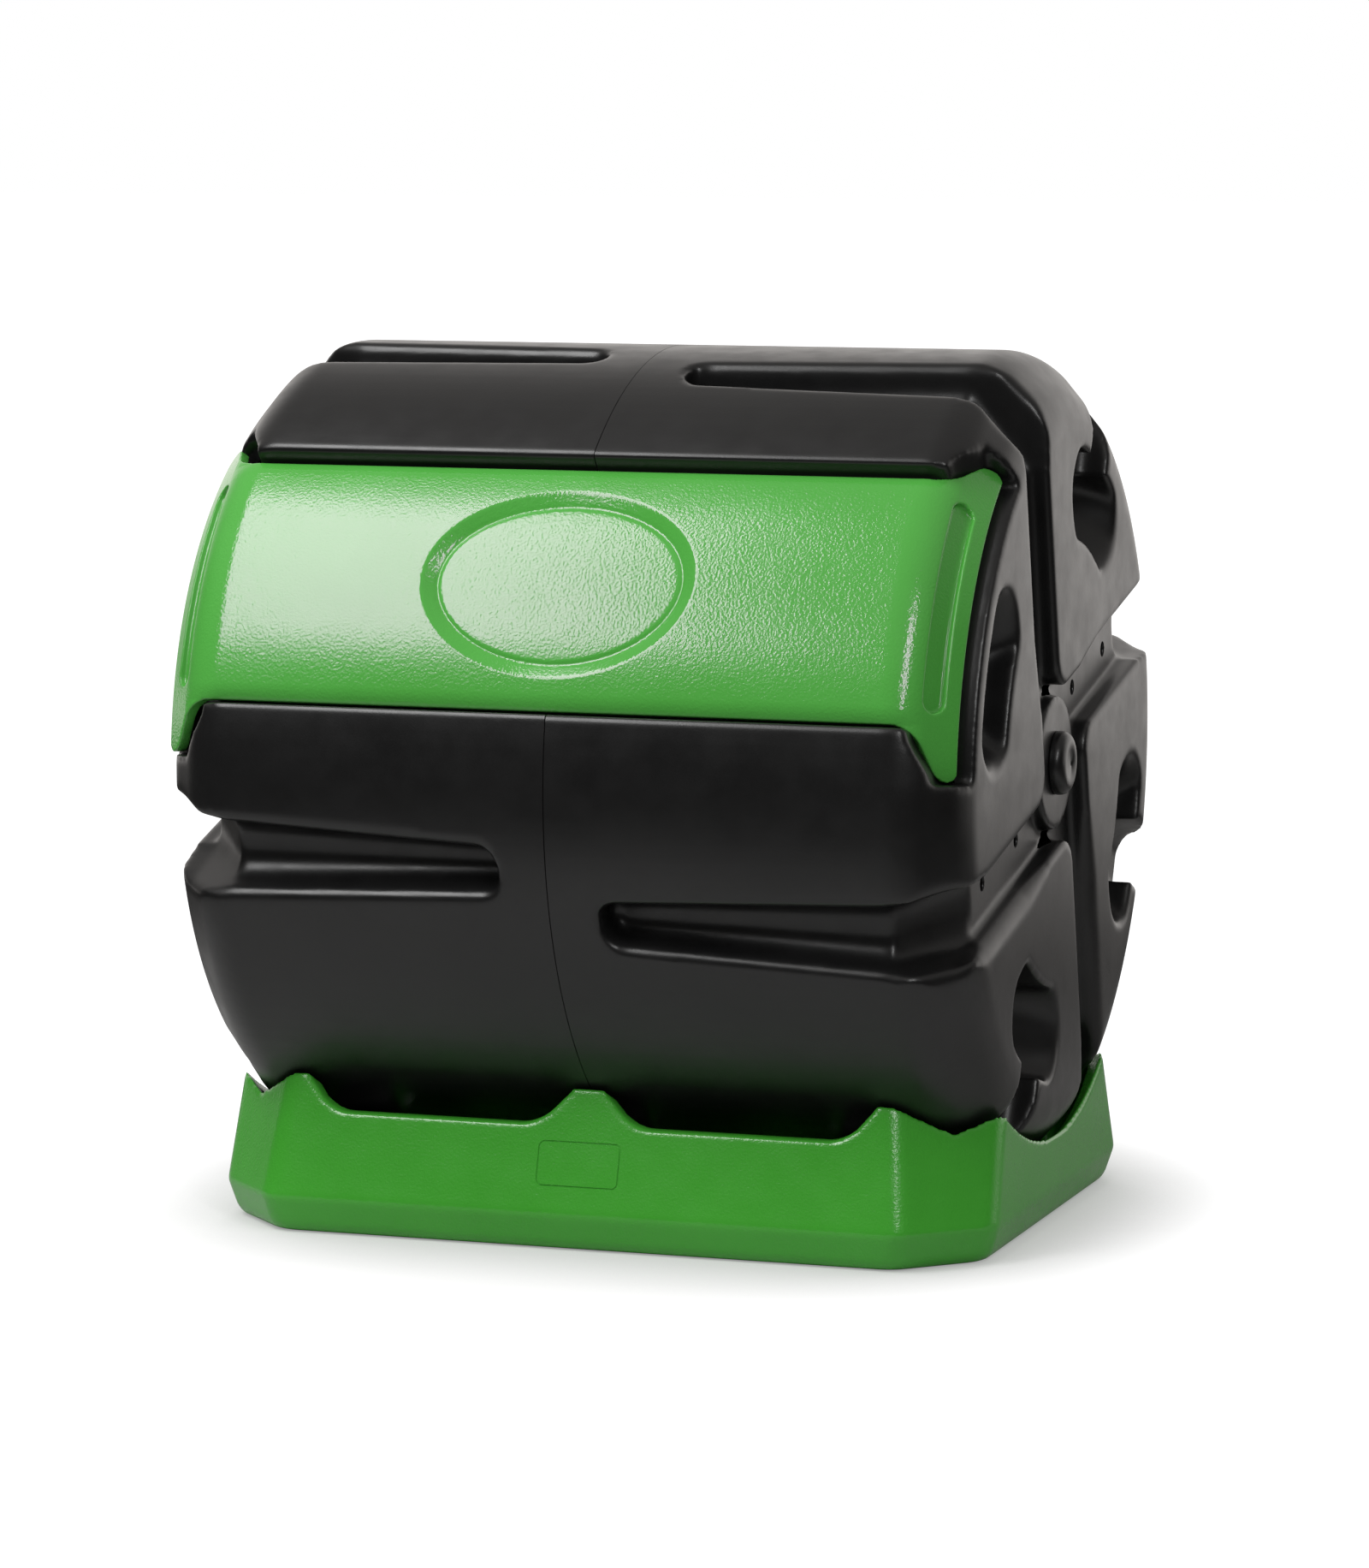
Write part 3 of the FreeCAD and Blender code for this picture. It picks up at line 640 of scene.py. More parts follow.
    def groove(self, number: int, skin: float) -> Work:
        """Groove with a rounded floor and rounded lips, from its blind end to the foot of its ramp.

        Args:
            number: which quarter of the drum, from 0.
            skin: how far inside the outer surface.

        Returns:
            The cutter.
        """
        end = self.length - self.channel_depth
        shoulder = self.length - self.chamfer_length
        begin, ramp_start = self.groove_start, self.ramp_start
        walls = [(first, between(first, last, (ramp_start - begin) / (self.length - begin)), last)
                 for first, last in (self.near, self.far)]
        stops = [begin + step for step in self.groove_stops]
        sections = []
        for along in (*stops, ramp_start, shoulder, end, end + self.past):
            walk, ramp = along - begin, (along - ramp_start) / (end - ramp_start)
            share = walk / (ramp_start - begin)
            near, far = (between(first, middle, share) if ramp < 0 else between(middle, last, ramp)
                         for first, middle, last in walls)
            near += quarter_inset(self.blind_round[0], walk) - skin
            far += skin - quarter_inset(self.blind_round[1], walk)
            foot = between(self.groove_floor, self.ramp_foot, ramp)
            foot += quarter_inset(self.blind_floor_round, walk) - skin
            surface = self.radius - self.slope * max(along - shoulder, 0.0) - skin
            lip = max(self.lip - skin, self.least_lip) * between(self.lip_start, 1.0, walk / self.lip_run)
            outline = self.groove_section(near, far, foot, surface, lip)
            sections.append([(along - skin, across, up) for across, up in outline])
        return loft("groove", sections).move(turn_x(QUARTER * number))

    def groove_section(self, near: float, far: float, foot: float, surface: float,
                       lip: float) -> list[Vector]:
        """Cross-section of a groove.

        Args:
            near: distance of its near wall from the radial line.
            far: distance of its far wall.
            foot: radius of its floor.
            surface: radius of the drum there.
            lip: rounding of its lips.

        Returns:
            The outline's points as (across, up).
        """
        lean = self.draft * (surface - foot) / (self.radius - self.groove_floor)
        reach, top = lip * self.lip_reach, self.radius + self.past
        near_lip, far_lip = lean - near, -far - lean
        near_height, far_height = (math.sqrt(surface ** 2 - across ** 2) for across in (near_lip, far_lip))
        near_fall, far_fall = -near_lip / near_height * reach, far_lip / far_height * reach
        near_out, far_out = near_lip + reach, far_lip - reach
        corners = [(-far, foot), (-near, foot), (near_lip, near_height), (near_out, near_height + near_fall),
                   (near_out, top), (far_out, top), (far_out, far_height + far_fall), (far_lip, far_height)]
        bowl = min(self.floor_round, self.floor_share * (far - near))
        return filleted(corners, (bowl, bowl, lip, 0.0, 0.0, 0.0, 0.0, lip), most=self.bend_share)

    def soft_edge(self, number: int, skin: float) -> Work:
        """Cutter that rounds the edge of a lobe beside the far wall of a channel.

        Args:
            number: which quarter of the drum, from 0.
            skin: how far inside the outer surface.

        Returns:
            The cutter.
        """
        face, far = self.length - skin, self.far[1] + skin
        out, over = face + self.edge_past[0], self.edge_past[1] - far
        sections = []
        for reach, radius in self.edge_rounds:
            radius = max(radius - skin, self.least_edge_round)
            inner = face - radius
            corners = [(out, over), (inner, over), (inner, -far)]
            for step in range(1, self.edge_steps + 1):
                angle = math.radians(QUARTER * step / self.edge_steps)
                corners.append((inner + radius * math.sin(angle), -far - radius + radius * math.cos(angle)))
            corners.append((out, -far - radius))
            sections.append([(along, across, reach) for along, across in corners])
        return loft("soft_edge", sections).move(turn_x(QUARTER * number))

    def channels(self, skin: float) -> Work:
        """The four channels of the end face, one pinwheel with rounded lobe corners between them.

        Args:
            skin: how far inside the outer surface.

        Returns:
            The cutter.
        """
        near, far, out = self.near[1] - skin, self.far[1] + skin, self.radius + self.past
        arm = [(-near, out), (-far, out), (-far, -near)]
        spots = []
        for number in range(4):
            angle = math.radians(QUARTER * number)
            for across, up in arm:
                spots.append((self.length - skin - self.channel_depth,
                              across * math.cos(angle) - up * math.sin(angle),
                              across * math.sin(angle) + up * math.cos(angle)))
        lobe = max(self.lobe_round - skin, self.least_lobe_round)
        return slab("channels", spots, (self.past * 2, 0, 0), {3 * number + 2: lobe for number in range(4)})

    def grip(self, number: int, skin: float) -> Work:
        """Curved hand grip in the end face, round at both ends, where its floor rises to the face.

        Args:
            number: which quarter of the drum, from 0.
            skin: how far inside the outer surface.

        Returns:
            The cutter.
        """
        middle = sum(self.grip_radii) / 2
        half = (self.grip_radii[1] - self.grip_radii[0]) / 2 + skin
        face = self.length - skin
        out = face + self.past
        reach = middle * math.radians(self.grip_sweep) / 2 + skin
        sections = []
        for step in range(self.grip_steps + 1):
            place = -math.cos(math.pi * step / self.grip_steps)
            left = reach * (1.0 - abs(place))
            flat = 1.0 - min(left / self.grip_round, 1.0)
            width = half * math.sqrt(max(1.0 - flat ** 2, self.grip_tip))
            low = face + self.grip_past - (self.grip_depth + self.grip_past) * eased(left / self.grip_ramp)
            inner, outer = middle - width, middle + width
            bend = self.grip_bowl * width
            bowl = filleted([(low, inner), (out, inner), (out, outer), (low, outer)], (bend, 0.0, 0.0, bend))
            turn = self.grip_turn + QUARTER * number + math.degrees(reach * place / middle)
            sections.append(swung(bowl, turn))
        return loft("grip", sections)

    def notch(self, number: int, skin: float) -> Work:
        """Straight way out of a grip through the rim, not as deep as the grip.

        Args:
            number: which quarter of the drum, from 0.
            skin: how far inside the outer surface.

        Returns:
            The cutter.
        """
        low = self.length - self.notch_depth - skin
        half = self.notch_width / 2 + skin
        inner, out = sum(self.grip_radii) / 2, self.radius + self.past
        notch = slab("notch", [(low, -half, inner), (low, half, inner), (low, half, out), (low, -half, out)],
                     (self.notch_depth + self.past, 0, 0))
        notch.round_edges(lambda edge: all(abs(vert.co.x - low) < HAIR for vert in edge.verts)
                          and abs(edge.verts[0].co.y - edge.verts[1].co.y) < HAIR, self.notch_round)
        return notch.move(turn_x(self.grip_turn + QUARTER * number))

    def recesses(self, skin: float) -> list[Work]:
        """Stepped recess round the mouth for the lid's panel, flanges and ears.

        Args:
            skin: how far inside the outer surface.

        Returns:
            The cutters for the panel and for the ears.
        """
        seat, foot = self.seat - skin, self.recess_foot - skin
        fold = self.recess_fold - mitre(skin)
        foot_along = fold + (seat - foot) / self.slope
        end, rim = self.length + self.past, self.radius + self.past
        behind = -self.past * 2
        extra = math.degrees(2 * skin / self.radius)
        shared = [(foot_along, foot), (end, foot), (end, rim)]
        sections = []
        for step in range(self.ear_steps + 1):
            angle = (self.ear_sweep + extra) / 2 * (2 * step / self.ear_steps - 1.0)
            out = (abs(angle) - self.recess_sweep / 2) / ((self.ear_sweep - self.recess_sweep) / 2)
            ear = between(*self.ear_starts, eased(out)) - skin
            tongue = [(ear, seat - (ear - fold) * self.slope), *shared, (ear, rim)]
            sections.append(swung(tongue, self.lid_middle + angle))
        panel = [(behind, seat), (fold, seat), *shared, (behind, rim)]
        return [sector("recess", panel, self.lid_middle, self.recess_sweep + extra), loft("ears", sections)]

    def shell(self) -> Work:
        """The finished half shell in its own frame.

        Returns:
            The shell.
        """
        outer = self.form(0.0).soften(self.facet, self.facet_rounds)
        fine = outer.copy("drum_fine").ease(self.shade_rounds)
        outer.thin(self.kept_share)
        inner = self.form(self.wall).soften(self.inner_facet, self.inner_rounds)
        outer.combine([inner, self.before_seam()], solver=Solver.DENSE)
        outer.combine([self.flange_ring()], Way.ADD, Solver.DENSE)
        outer.combine([self.mouth(), self.hub_bore(), *self.vents()], solver=Solver.DENSE)
        return outer.trim_flaps().shade_from(fine)

    def before_seam(self) -> Work:
        """Cutter for all that lies before the seam.

        Returns:
            The cutter.
        """
        room = self.around
        corners = [(-room, -room, -room), (-room, room, -room), (-room, room, room), (-room, -room, room)]
        return slab("before_seam", corners, (room + self.seam, 0, 0))

    def flange_ring(self) -> Work:
        """Flange inside the seam, open at the mouth.

        Returns:
            The ring.
        """
        start, end = self.seam + self.flange_gap, self.flange[0]
        low, high = self.radius - self.wall - self.flange[1], self.radius - self.wall / 2
        ring = [(start, low), (end, low), (end, high), (start, high)]
        sweep = 360.0 - self.recess_sweep - self.flange_clear
        return sector("flange", ring, self.lid_middle + 180.0, sweep, steps=120)

    def mouth(self) -> Work:
        """Cutter for this half of the fill opening, with round corners.

        Returns:
            The cutter.
        """
        start, end = -self.past * 2, self.mouth_length
        low, high = self.mouth_foot, self.radius + self.past
        outline = [(start, low), (end, low), (end, high), (start, high)]

        def corner(edge: bmesh.types.BMEdge) -> bool:
            """Whether an edge runs outwards at a corner of the end.

            Args:
                edge: the edge.

            Returns:
                True if it does.
            """
            first, last = (vert.co for vert in edge.verts)
            if max(abs(first.x - end), abs(last.x - end)) >= HAIR:
                return False
            return edge.calc_face_angle() > SHARP and abs(first.length - last.length) > self.mouth_round

        mouth = sector("mouth", outline, self.lid_middle, self.mouth_sweep)
        return mouth.round_edges(corner, self.mouth_round)

    def hub_bore(self) -> Work:
        """Cutter for the hole that takes the hub cap."""
        return rod("bore", *self.drill, self.bore, steps=48)

    def vents(self) -> list[Work]:
        """Cutters for the two air holes in the floor of each channel.

        Returns:
            The cutters.
        """
        holes = []
        for number in range(4):
            for reach in self.vent_reaches:
                place = turn_x(QUARTER * number) @ Matrix.Translation((0, -self.vent_offset, reach))
                holes.append(rod("vent", *self.drill, self.vent_radius, steps=24).move(place))
        return holes

    def build(self, material: bpy.types.Material) -> None:
        """Makes both halves from one mould and puts them in place.

        Args:
            material: their finish.
        """
        right = self.shell()
        left = right.copy("drum_left_skin")
        right.obj.name = "drum_right_skin"
        right.move(self.right_place()).finish("drum", "drum_black", material, ["drum_right_half"])
        left.move(self.left_place()).finish("drum", "drum_black", material, ["drum_left_half"])


@dataclass
class Lid:
    """The lift-off lid, shaped flat with its ears, oval and beads, then folded and bent round the drum."""

    radius: float = 0.290
    thickness: float = 0.008
    fold: float = 0.262
    fold_round: float = 0.016
    flange: float = 0.0457
    slope: float = 48.0
    half_sweep: float = 19.2
    ear_half_sweep: float = 27.2
    ear_root: float = 0.0075
    ear_tip: float = 0.030
    corner_rounds: tuple[float, float, float] = (0.016, 0.009, 0.008)
    offset: float = -0.007
    oval: Pair = (0.101, 0.073)
    oval_floor: Pair = (0.0925, 0.0645)
    oval_depth: float = 0.0050
    oval_past: Pair = (0.004, 0.002)
    line_width: float = 0.0034
    line_depth: float = 0.0011
    line_past: float = 0.001
    edge_width: float = 0.013
    edge_drop: float = 0.0028
    bead_middle: float = 0.0235
    bead_width: float = 0.0175
    bead_half_sweep: float = 17.0
    bead_depth: float = 0.0046
    bead_past: float = 0.020
    bead_end: float = 0.98
    facet: float = 0.0011
    facet_rounds: int = 6
    kept_share: float = 0.33

    def flat_outline(self) -> tuple[list[Spot], dict[int, float]]:
        """Corners of the flat blank's underside and their roundings.

        Returns:
            The corners, and the radius by corner number.
        """
        side = self.radius * math.radians(self.half_sweep)
        ear = self.radius * math.radians(self.ear_half_sweep)
        quarter = [(self.fold + self.ear_root, side), (self.fold + self.ear_tip, ear),
                   (self.fold + self.flange, ear)]
        half = quarter + [(along, -across) for along, across in reversed(quarter)]
        spots = half + [(-along, -across) for along, across in half]
        rounds = (*self.corner_rounds, *reversed(self.corner_rounds)) * 2
        return [(along, across, -self.thickness) for along, across in spots], dict(enumerate(rounds))

    def blank(self) -> Work:
        """The flat lid with its oval and its beads, softened.

        Returns:
            The flat lid.
        """
        spots, rounds = self.flat_outline()
        blank = slab("lid", spots, (0, 0, self.thickness), rounds)
        blank.combine([self.oval_cutter(), self.oval_line(), self.bead(1), self.bead(-1)])
        return blank.soften(self.facet, self.facet_rounds)

    def oval_cutter(self) -> Work:
        """Shallow oval dish with a sloping wall.

        Returns:
            The cutter.
        """
        out, up = self.oval_past
        rim = ring_spots(self.oval[0] + out, self.oval[1] + out, up)
        return loft("oval", [ring_spots(*self.oval_floor, -self.oval_depth), rim])

    def oval_line(self) -> Work:
        """Fine groove round the dish's floor.

        Returns:
            The cutter.
        """
        past = self.line_past
        low, high = -self.oval_depth - self.line_depth, -self.oval_depth + past
        groove = loft("line", [ring_spots(*self.oval_floor, low), ring_spots(*self.oval_floor, high)])
        core = [side - self.line_width for side in self.oval_floor]
        return groove.combine([loft("core", [ring_spots(*core, low - past), ring_spots(*core, high + past)])])

    def bead(self, side: int) -> Work:
        """Long pressed bead with round ends along one flange.

        Args:
            side: 1 for the right flange, -1 for the left.

        Returns:
            The cutter.
        """
        half = self.bead_width / 2
        reach = self.radius * math.radians(self.bead_half_sweep)
        middle = side * (self.fold + self.bead_middle)
        start, end = middle - half, middle + half
        spots = [(start, -reach), (end, -reach), (end, reach), (start, reach)]
        return slab("bead", [(along, across, -self.bead_depth) for along, across in spots],
                    (0, 0, self.bead_past), dict.fromkeys(range(4), half * self.bead_end))

    def folded(self, spot: Vector) -> Vector:
        """Place of a flat point on the folded and bent lid.

        Args:
            spot: along, across and height over the flat lid.

        Returns:
            The point in the lid's own frame, middle towards +Z.
        """
        side = 1.0 if spot.x >= 0.0 else -1.0
        along = abs(spot.x)
        lean = math.radians(self.slope)
        start = self.fold - self.fold_round
        arc = 2.0 * self.fold_round
        if along <= start:
            x, radius, tilt = along, self.radius, 0.0
        else:
            tilt = lean * min((along - start) / arc, 1.0)
            bend = arc / lean
            x = start + bend * math.sin(tilt)
            radius = self.radius - bend * (1.0 - math.cos(tilt))
            rest = max(along - start - arc, 0.0)
            x += rest * math.cos(lean)
            radius -= rest * math.sin(lean)
        edge = self.radius * math.radians(self.half_sweep) - self.edge_width
        over = between(0.0, 1.0, (abs(spot.y) - edge) / self.edge_width)
        height = spot.z - self.edge_drop * over ** 2 * (1.0 - tilt / lean)
        x += height * math.sin(tilt)
        radius += height * math.cos(tilt)
        angle = spot.y / self.radius
        return Vector((side * x, radius * math.sin(angle), radius * math.cos(angle)))

    def build(self, material: bpy.types.Material) -> None:
        """Makes the lid and puts it on the drum.

        Args:
            material: its finish.
        """
        fine = self.blank().bend(self.folded)
        lid = fine.copy("lid_skin").thin(self.kept_share).shade_from(fine)
        lid.move(on_axis(self.offset) @ turn_x(LID_TURN))
        lid.finish("lid", "lid_green", material, ["lid"])


@dataclass
class BaseTray:
    """The eight-sided tray with leaning walls, horns, end saddles and roller cheeks."""

    foot: Spot = (0.287, 0.222, 0.053)
    band: Spot = (0.2955, 0.230, 0.057)
    rim: Spot = (0.292, 0.2035, 0.064)
    band_height: float = 0.027
    rim_height: float = 0.117
    rim_past: float = 0.020
    floor: float = 0.006
    foot_wall: float = 0.008
    foot_round: float = 0.0075
    foot_stops: tuple[float, ...] = (0.0, 0.001, 0.003, 0.0075)
    rim_wall: float = 0.018
    upright_round: float = 0.009
    hollow_past: float = 0.010
    saddle_radius: float = 0.3026
    saddle_shoulder: float = 0.2646
    saddle_end: Pair = (0.338, 0.2294)
    dip_height: float = 0.089
    dip_rounds: Pair = (0.014, 0.008)
    dip_past: float = 0.050
    dip_reach: float = 0.3
    horn_top: float = 0.009
    horn_foot: float = 0.036
    corner_top: float = 0.218
    corner_foot: float = 0.195
    roller_pitch: float = 0.195
    roller_reach: float = 0.14943
    roller_rise: float = 0.05846
    cheek_gap: float = 0.046
    cheek: float = 0.007
    cheek_backs: tuple[float, float, float] = (0.216, 0.224, 0.210)
    cheek_foot: float = 0.003
    cheek_margin: float = 0.009
    cheek_slant: float = 0.036
    pin_hole: float = 0.00515
    pin_reach: float = 0.040
    plate: Pair = (0.0626, 0.0333)
    plate_middle: Pair = (-0.0023, 0.0368)
    plate_round: float = 0.005
    plate_line: float = 0.0013
    plate_cut: Pair = (-0.00078, 0.003)
    plate_core: Pair = (-0.004, 0.006)
    facet: float = 0.0020
    facet_rounds: int = 8
    kept_share: float = 0.34

    def eight_sides(self, size: Spot, height: float, wall: float = 0.0) -> list[Spot]:
        """Corners of one level outline, set in by a wall.

        Args:
            size: half length, half width and corner.
            height: its height.
            wall: how far it is set in.

        Returns:
            The eight corners.
        """
        half_length, half_width = size[0] - wall, size[1] - wall
        corner = size[2] - wall * (2.0 - math.sqrt(2.0))
        x, y = half_length - corner, half_width - corner
        half = [(x, -half_width), (half_length, -y), (half_length, y), (x, half_width)]
        spots = half + [(-along, across) for along, across in reversed(half)]
        return [(along, across, height) for along, across in spots]

    def tray(self) -> Work:
        """The open tray before it is trimmed.

        Returns:
            The tray.
        """
        over = self.rim_height + self.rim_past
        lean = [low + (high - low) * (over - self.band_height) / (self.rim_height - self.band_height)
                for low, high in zip(self.band, self.rim)]
        band_wall = self.foot_wall + (self.rim_wall - self.foot_wall) * self.band_height / self.rim_height
        sections = []
        for height in self.foot_stops:
            size = [low + (high - low) * height / self.band_height for low, high in zip(self.foot, self.band)]
            sections.append(self.eight_sides(size, height, quarter_inset(self.foot_round, height)))
        sections += [self.eight_sides(self.band, self.band_height), self.eight_sides(lean, over)]
        outside = loft("tray", sections)
        outside.round_edges(lambda edge: abs(edge.verts[0].co.z - edge.verts[1].co.z) > HAIR,
                            self.upright_round)
        inside = loft("hollow", [self.eight_sides(self.foot, self.floor, self.foot_wall),
                                 self.eight_sides(self.band, self.band_height, band_wall),
                                 self.eight_sides(lean, over + self.hollow_past, self.rim_wall)])
        return outside.combine([inside])

    def saddle(self) -> Work:
        """Cutter with the drum's round form plus a gap.

        Returns:
            The cutter.
        """
        end, low = self.saddle_end
        half = [(self.saddle_shoulder, self.saddle_radius), (end, low), (end, 0.0)]
        spots = [(-along, radius) for along, radius in reversed(half)] + half
        return lathe("saddle", spots, steps=180).move(on_axis())

    def dip(self, side: int) -> Work:
        """Cutter that lowers both long walls between two horns.

        Args:
            side: 1 for the right half, -1 for the left.

        Returns:
            The cutter.
        """
        top, reach = self.rim_height + self.dip_past, self.dip_reach
        spots = [(self.horn_foot, self.dip_height), (self.corner_foot, self.dip_height),
                 (self.corner_top, self.rim_height), (self.corner_top, top), (self.horn_top, top),
                 (self.horn_top, self.rim_height)]
        low, high = self.dip_rounds
        return slab("dip", [(side * along, -reach, height) for along, height in spots], (0, 2 * reach, 0),
                    {0: low, 1: low, 2: high, 5: high})

    def stations(self) -> list[tuple[float, int]]:
        """Place along the axis and side of each roller."""
        return [(along, row) for row in (-1, 1) for along in (-self.roller_pitch, 0.0, self.roller_pitch)]

    def cheeks(self) -> list[Work]:
        """Upright plates that hold the roller pins.

        Returns:
            The plates.
        """
        plates = []
        top, foot = self.roller_rise + self.cheek_margin, self.cheek_foot
        backs = zip(self.cheek_backs, (foot, self.band_height, top))
        side_view = [*backs, (self.roller_reach - self.cheek_margin, top),
                     (self.roller_reach - self.cheek_slant, foot)]
        for station, row in self.stations():
            for start in (-self.cheek_gap / 2 - self.cheek, self.cheek_gap / 2):
                spots = [(station + start, row * reach, height) for reach, height in side_view]
                plates.append(slab("cheek", spots, (self.cheek, 0, 0)))
        return plates

    def pin_holes(self) -> list[Work]:
        """Cutters for the pin holes, one long one for each pair of cheeks.

        Returns:
            The cutters.
        """
        holes = []
        for station, row in self.stations():
            hole = rod("hole", -self.pin_reach, self.pin_reach, self.pin_hole, steps=32)
            holes.append(hole.move(Matrix.Translation((station, row * self.roller_reach, self.roller_rise))))
        return holes

    def plate_outline(self) -> Work:
        """Cutter for the fine line round the bare plate in the middle of the front wall.

        Returns:
            The cutter.
        """
        up = Vector((0.0, self.band[1] - self.rim[1], self.rim_height - self.band_height)).normalized()
        out = Vector((0.0, -up.z, up.y))
        middle = Vector((self.plate_middle[0], -self.band[1], self.band_height)) + up * self.plate_middle[1]

        def block(name: str, inset: float, low: float, high: float) -> Work:
            """A rounded block on the wall.

            Args:
                name: its name.
                inset: how far it is smaller than the plate on each side.
                low: where it begins, outwards from the wall.
                high: where it ends.

            Returns:
                The block.
            """
            half_length, half_height = self.plate[0] / 2 - inset, self.plate[1] / 2 - inset
            corners = ((-half_length, -half_height), (half_length, -half_height),
                       (half_length, half_height), (-half_length, half_height))
            spots = [middle + Vector((along, 0, 0)) + up * rise + out * low for along, rise in corners]
            return slab(name, spots, out * (high - low), dict.fromkeys(range(4), self.plate_round - inset))

        line = block("plate_line", 0.0, *self.plate_cut)
        return line.combine([block("plate_core", self.plate_line, *self.plate_core)])

    def build(self, material: bpy.types.Material) -> None:
        """Makes the tray.

        Args:
            material: its finish.
        """
        tray = self.tray()
        tray.combine(self.cheeks(), Way.ADD)
        tray.combine([self.saddle(), self.dip(1), self.dip(-1)])
        fine = tray.soften(self.facet, self.facet_rounds)
        tray = fine.copy("base_tray_skin").thin(self.kept_share)
        tray.combine([self.plate_outline(), *self.pin_holes()], solver=Solver.DENSE)
        tray.shade_from(fine).finish("base", "base_green", material, ["base_tray"])


@dataclass
class HubCap:
    """Round knob that closes the middle of an end, with its stem and barb inside the drum."""

    face: float = 0.3017
    seat: float = 0.2907
    tail: float = 0.2824
    radius: float = 0.0234
    edge_round: float = 0.0075
    foot_round: float = 0.0012
    stem: float = 0.0117
    barb: float = 0.0132
    barb_seat: float = 0.2864
    barb_lead: float = 0.001
    dimple: float = 0.0020
    dimple_depth: float = 0.005

    def build(self, side: Side, material: bpy.types.Material) -> None:
        """Makes the cap of one end.

        Args:
            side: the end that it closes.
            material: its finish.
        """
        lead, pit = self.barb_lead, self.face - self.dimple_depth
        outline = [(self.tail, 0.0), (self.tail, self.stem - lead), (self.barb_seat - lead, self.barb),
                   (self.barb_seat, self.barb), (self.barb_seat, self.stem), (self.seat, self.stem),
                   (self.seat, self.radius), (self.face, self.radius), (self.face, self.dimple),
                   (pit, self.dimple), (pit, 0.0)]
        cap = lathe(f"hub_cap_{side.value}_skin", outline, {7: self.edge_round, 6: self.foot_round}, steps=96)
        if side is Side.LEFT:
            cap.move(Matrix.Rotation(math.pi, 4, "Z"))
        cap.move(on_axis())
        cap.finish("drum", "cap_black", material, [f"hub_cap_{side.value}"])


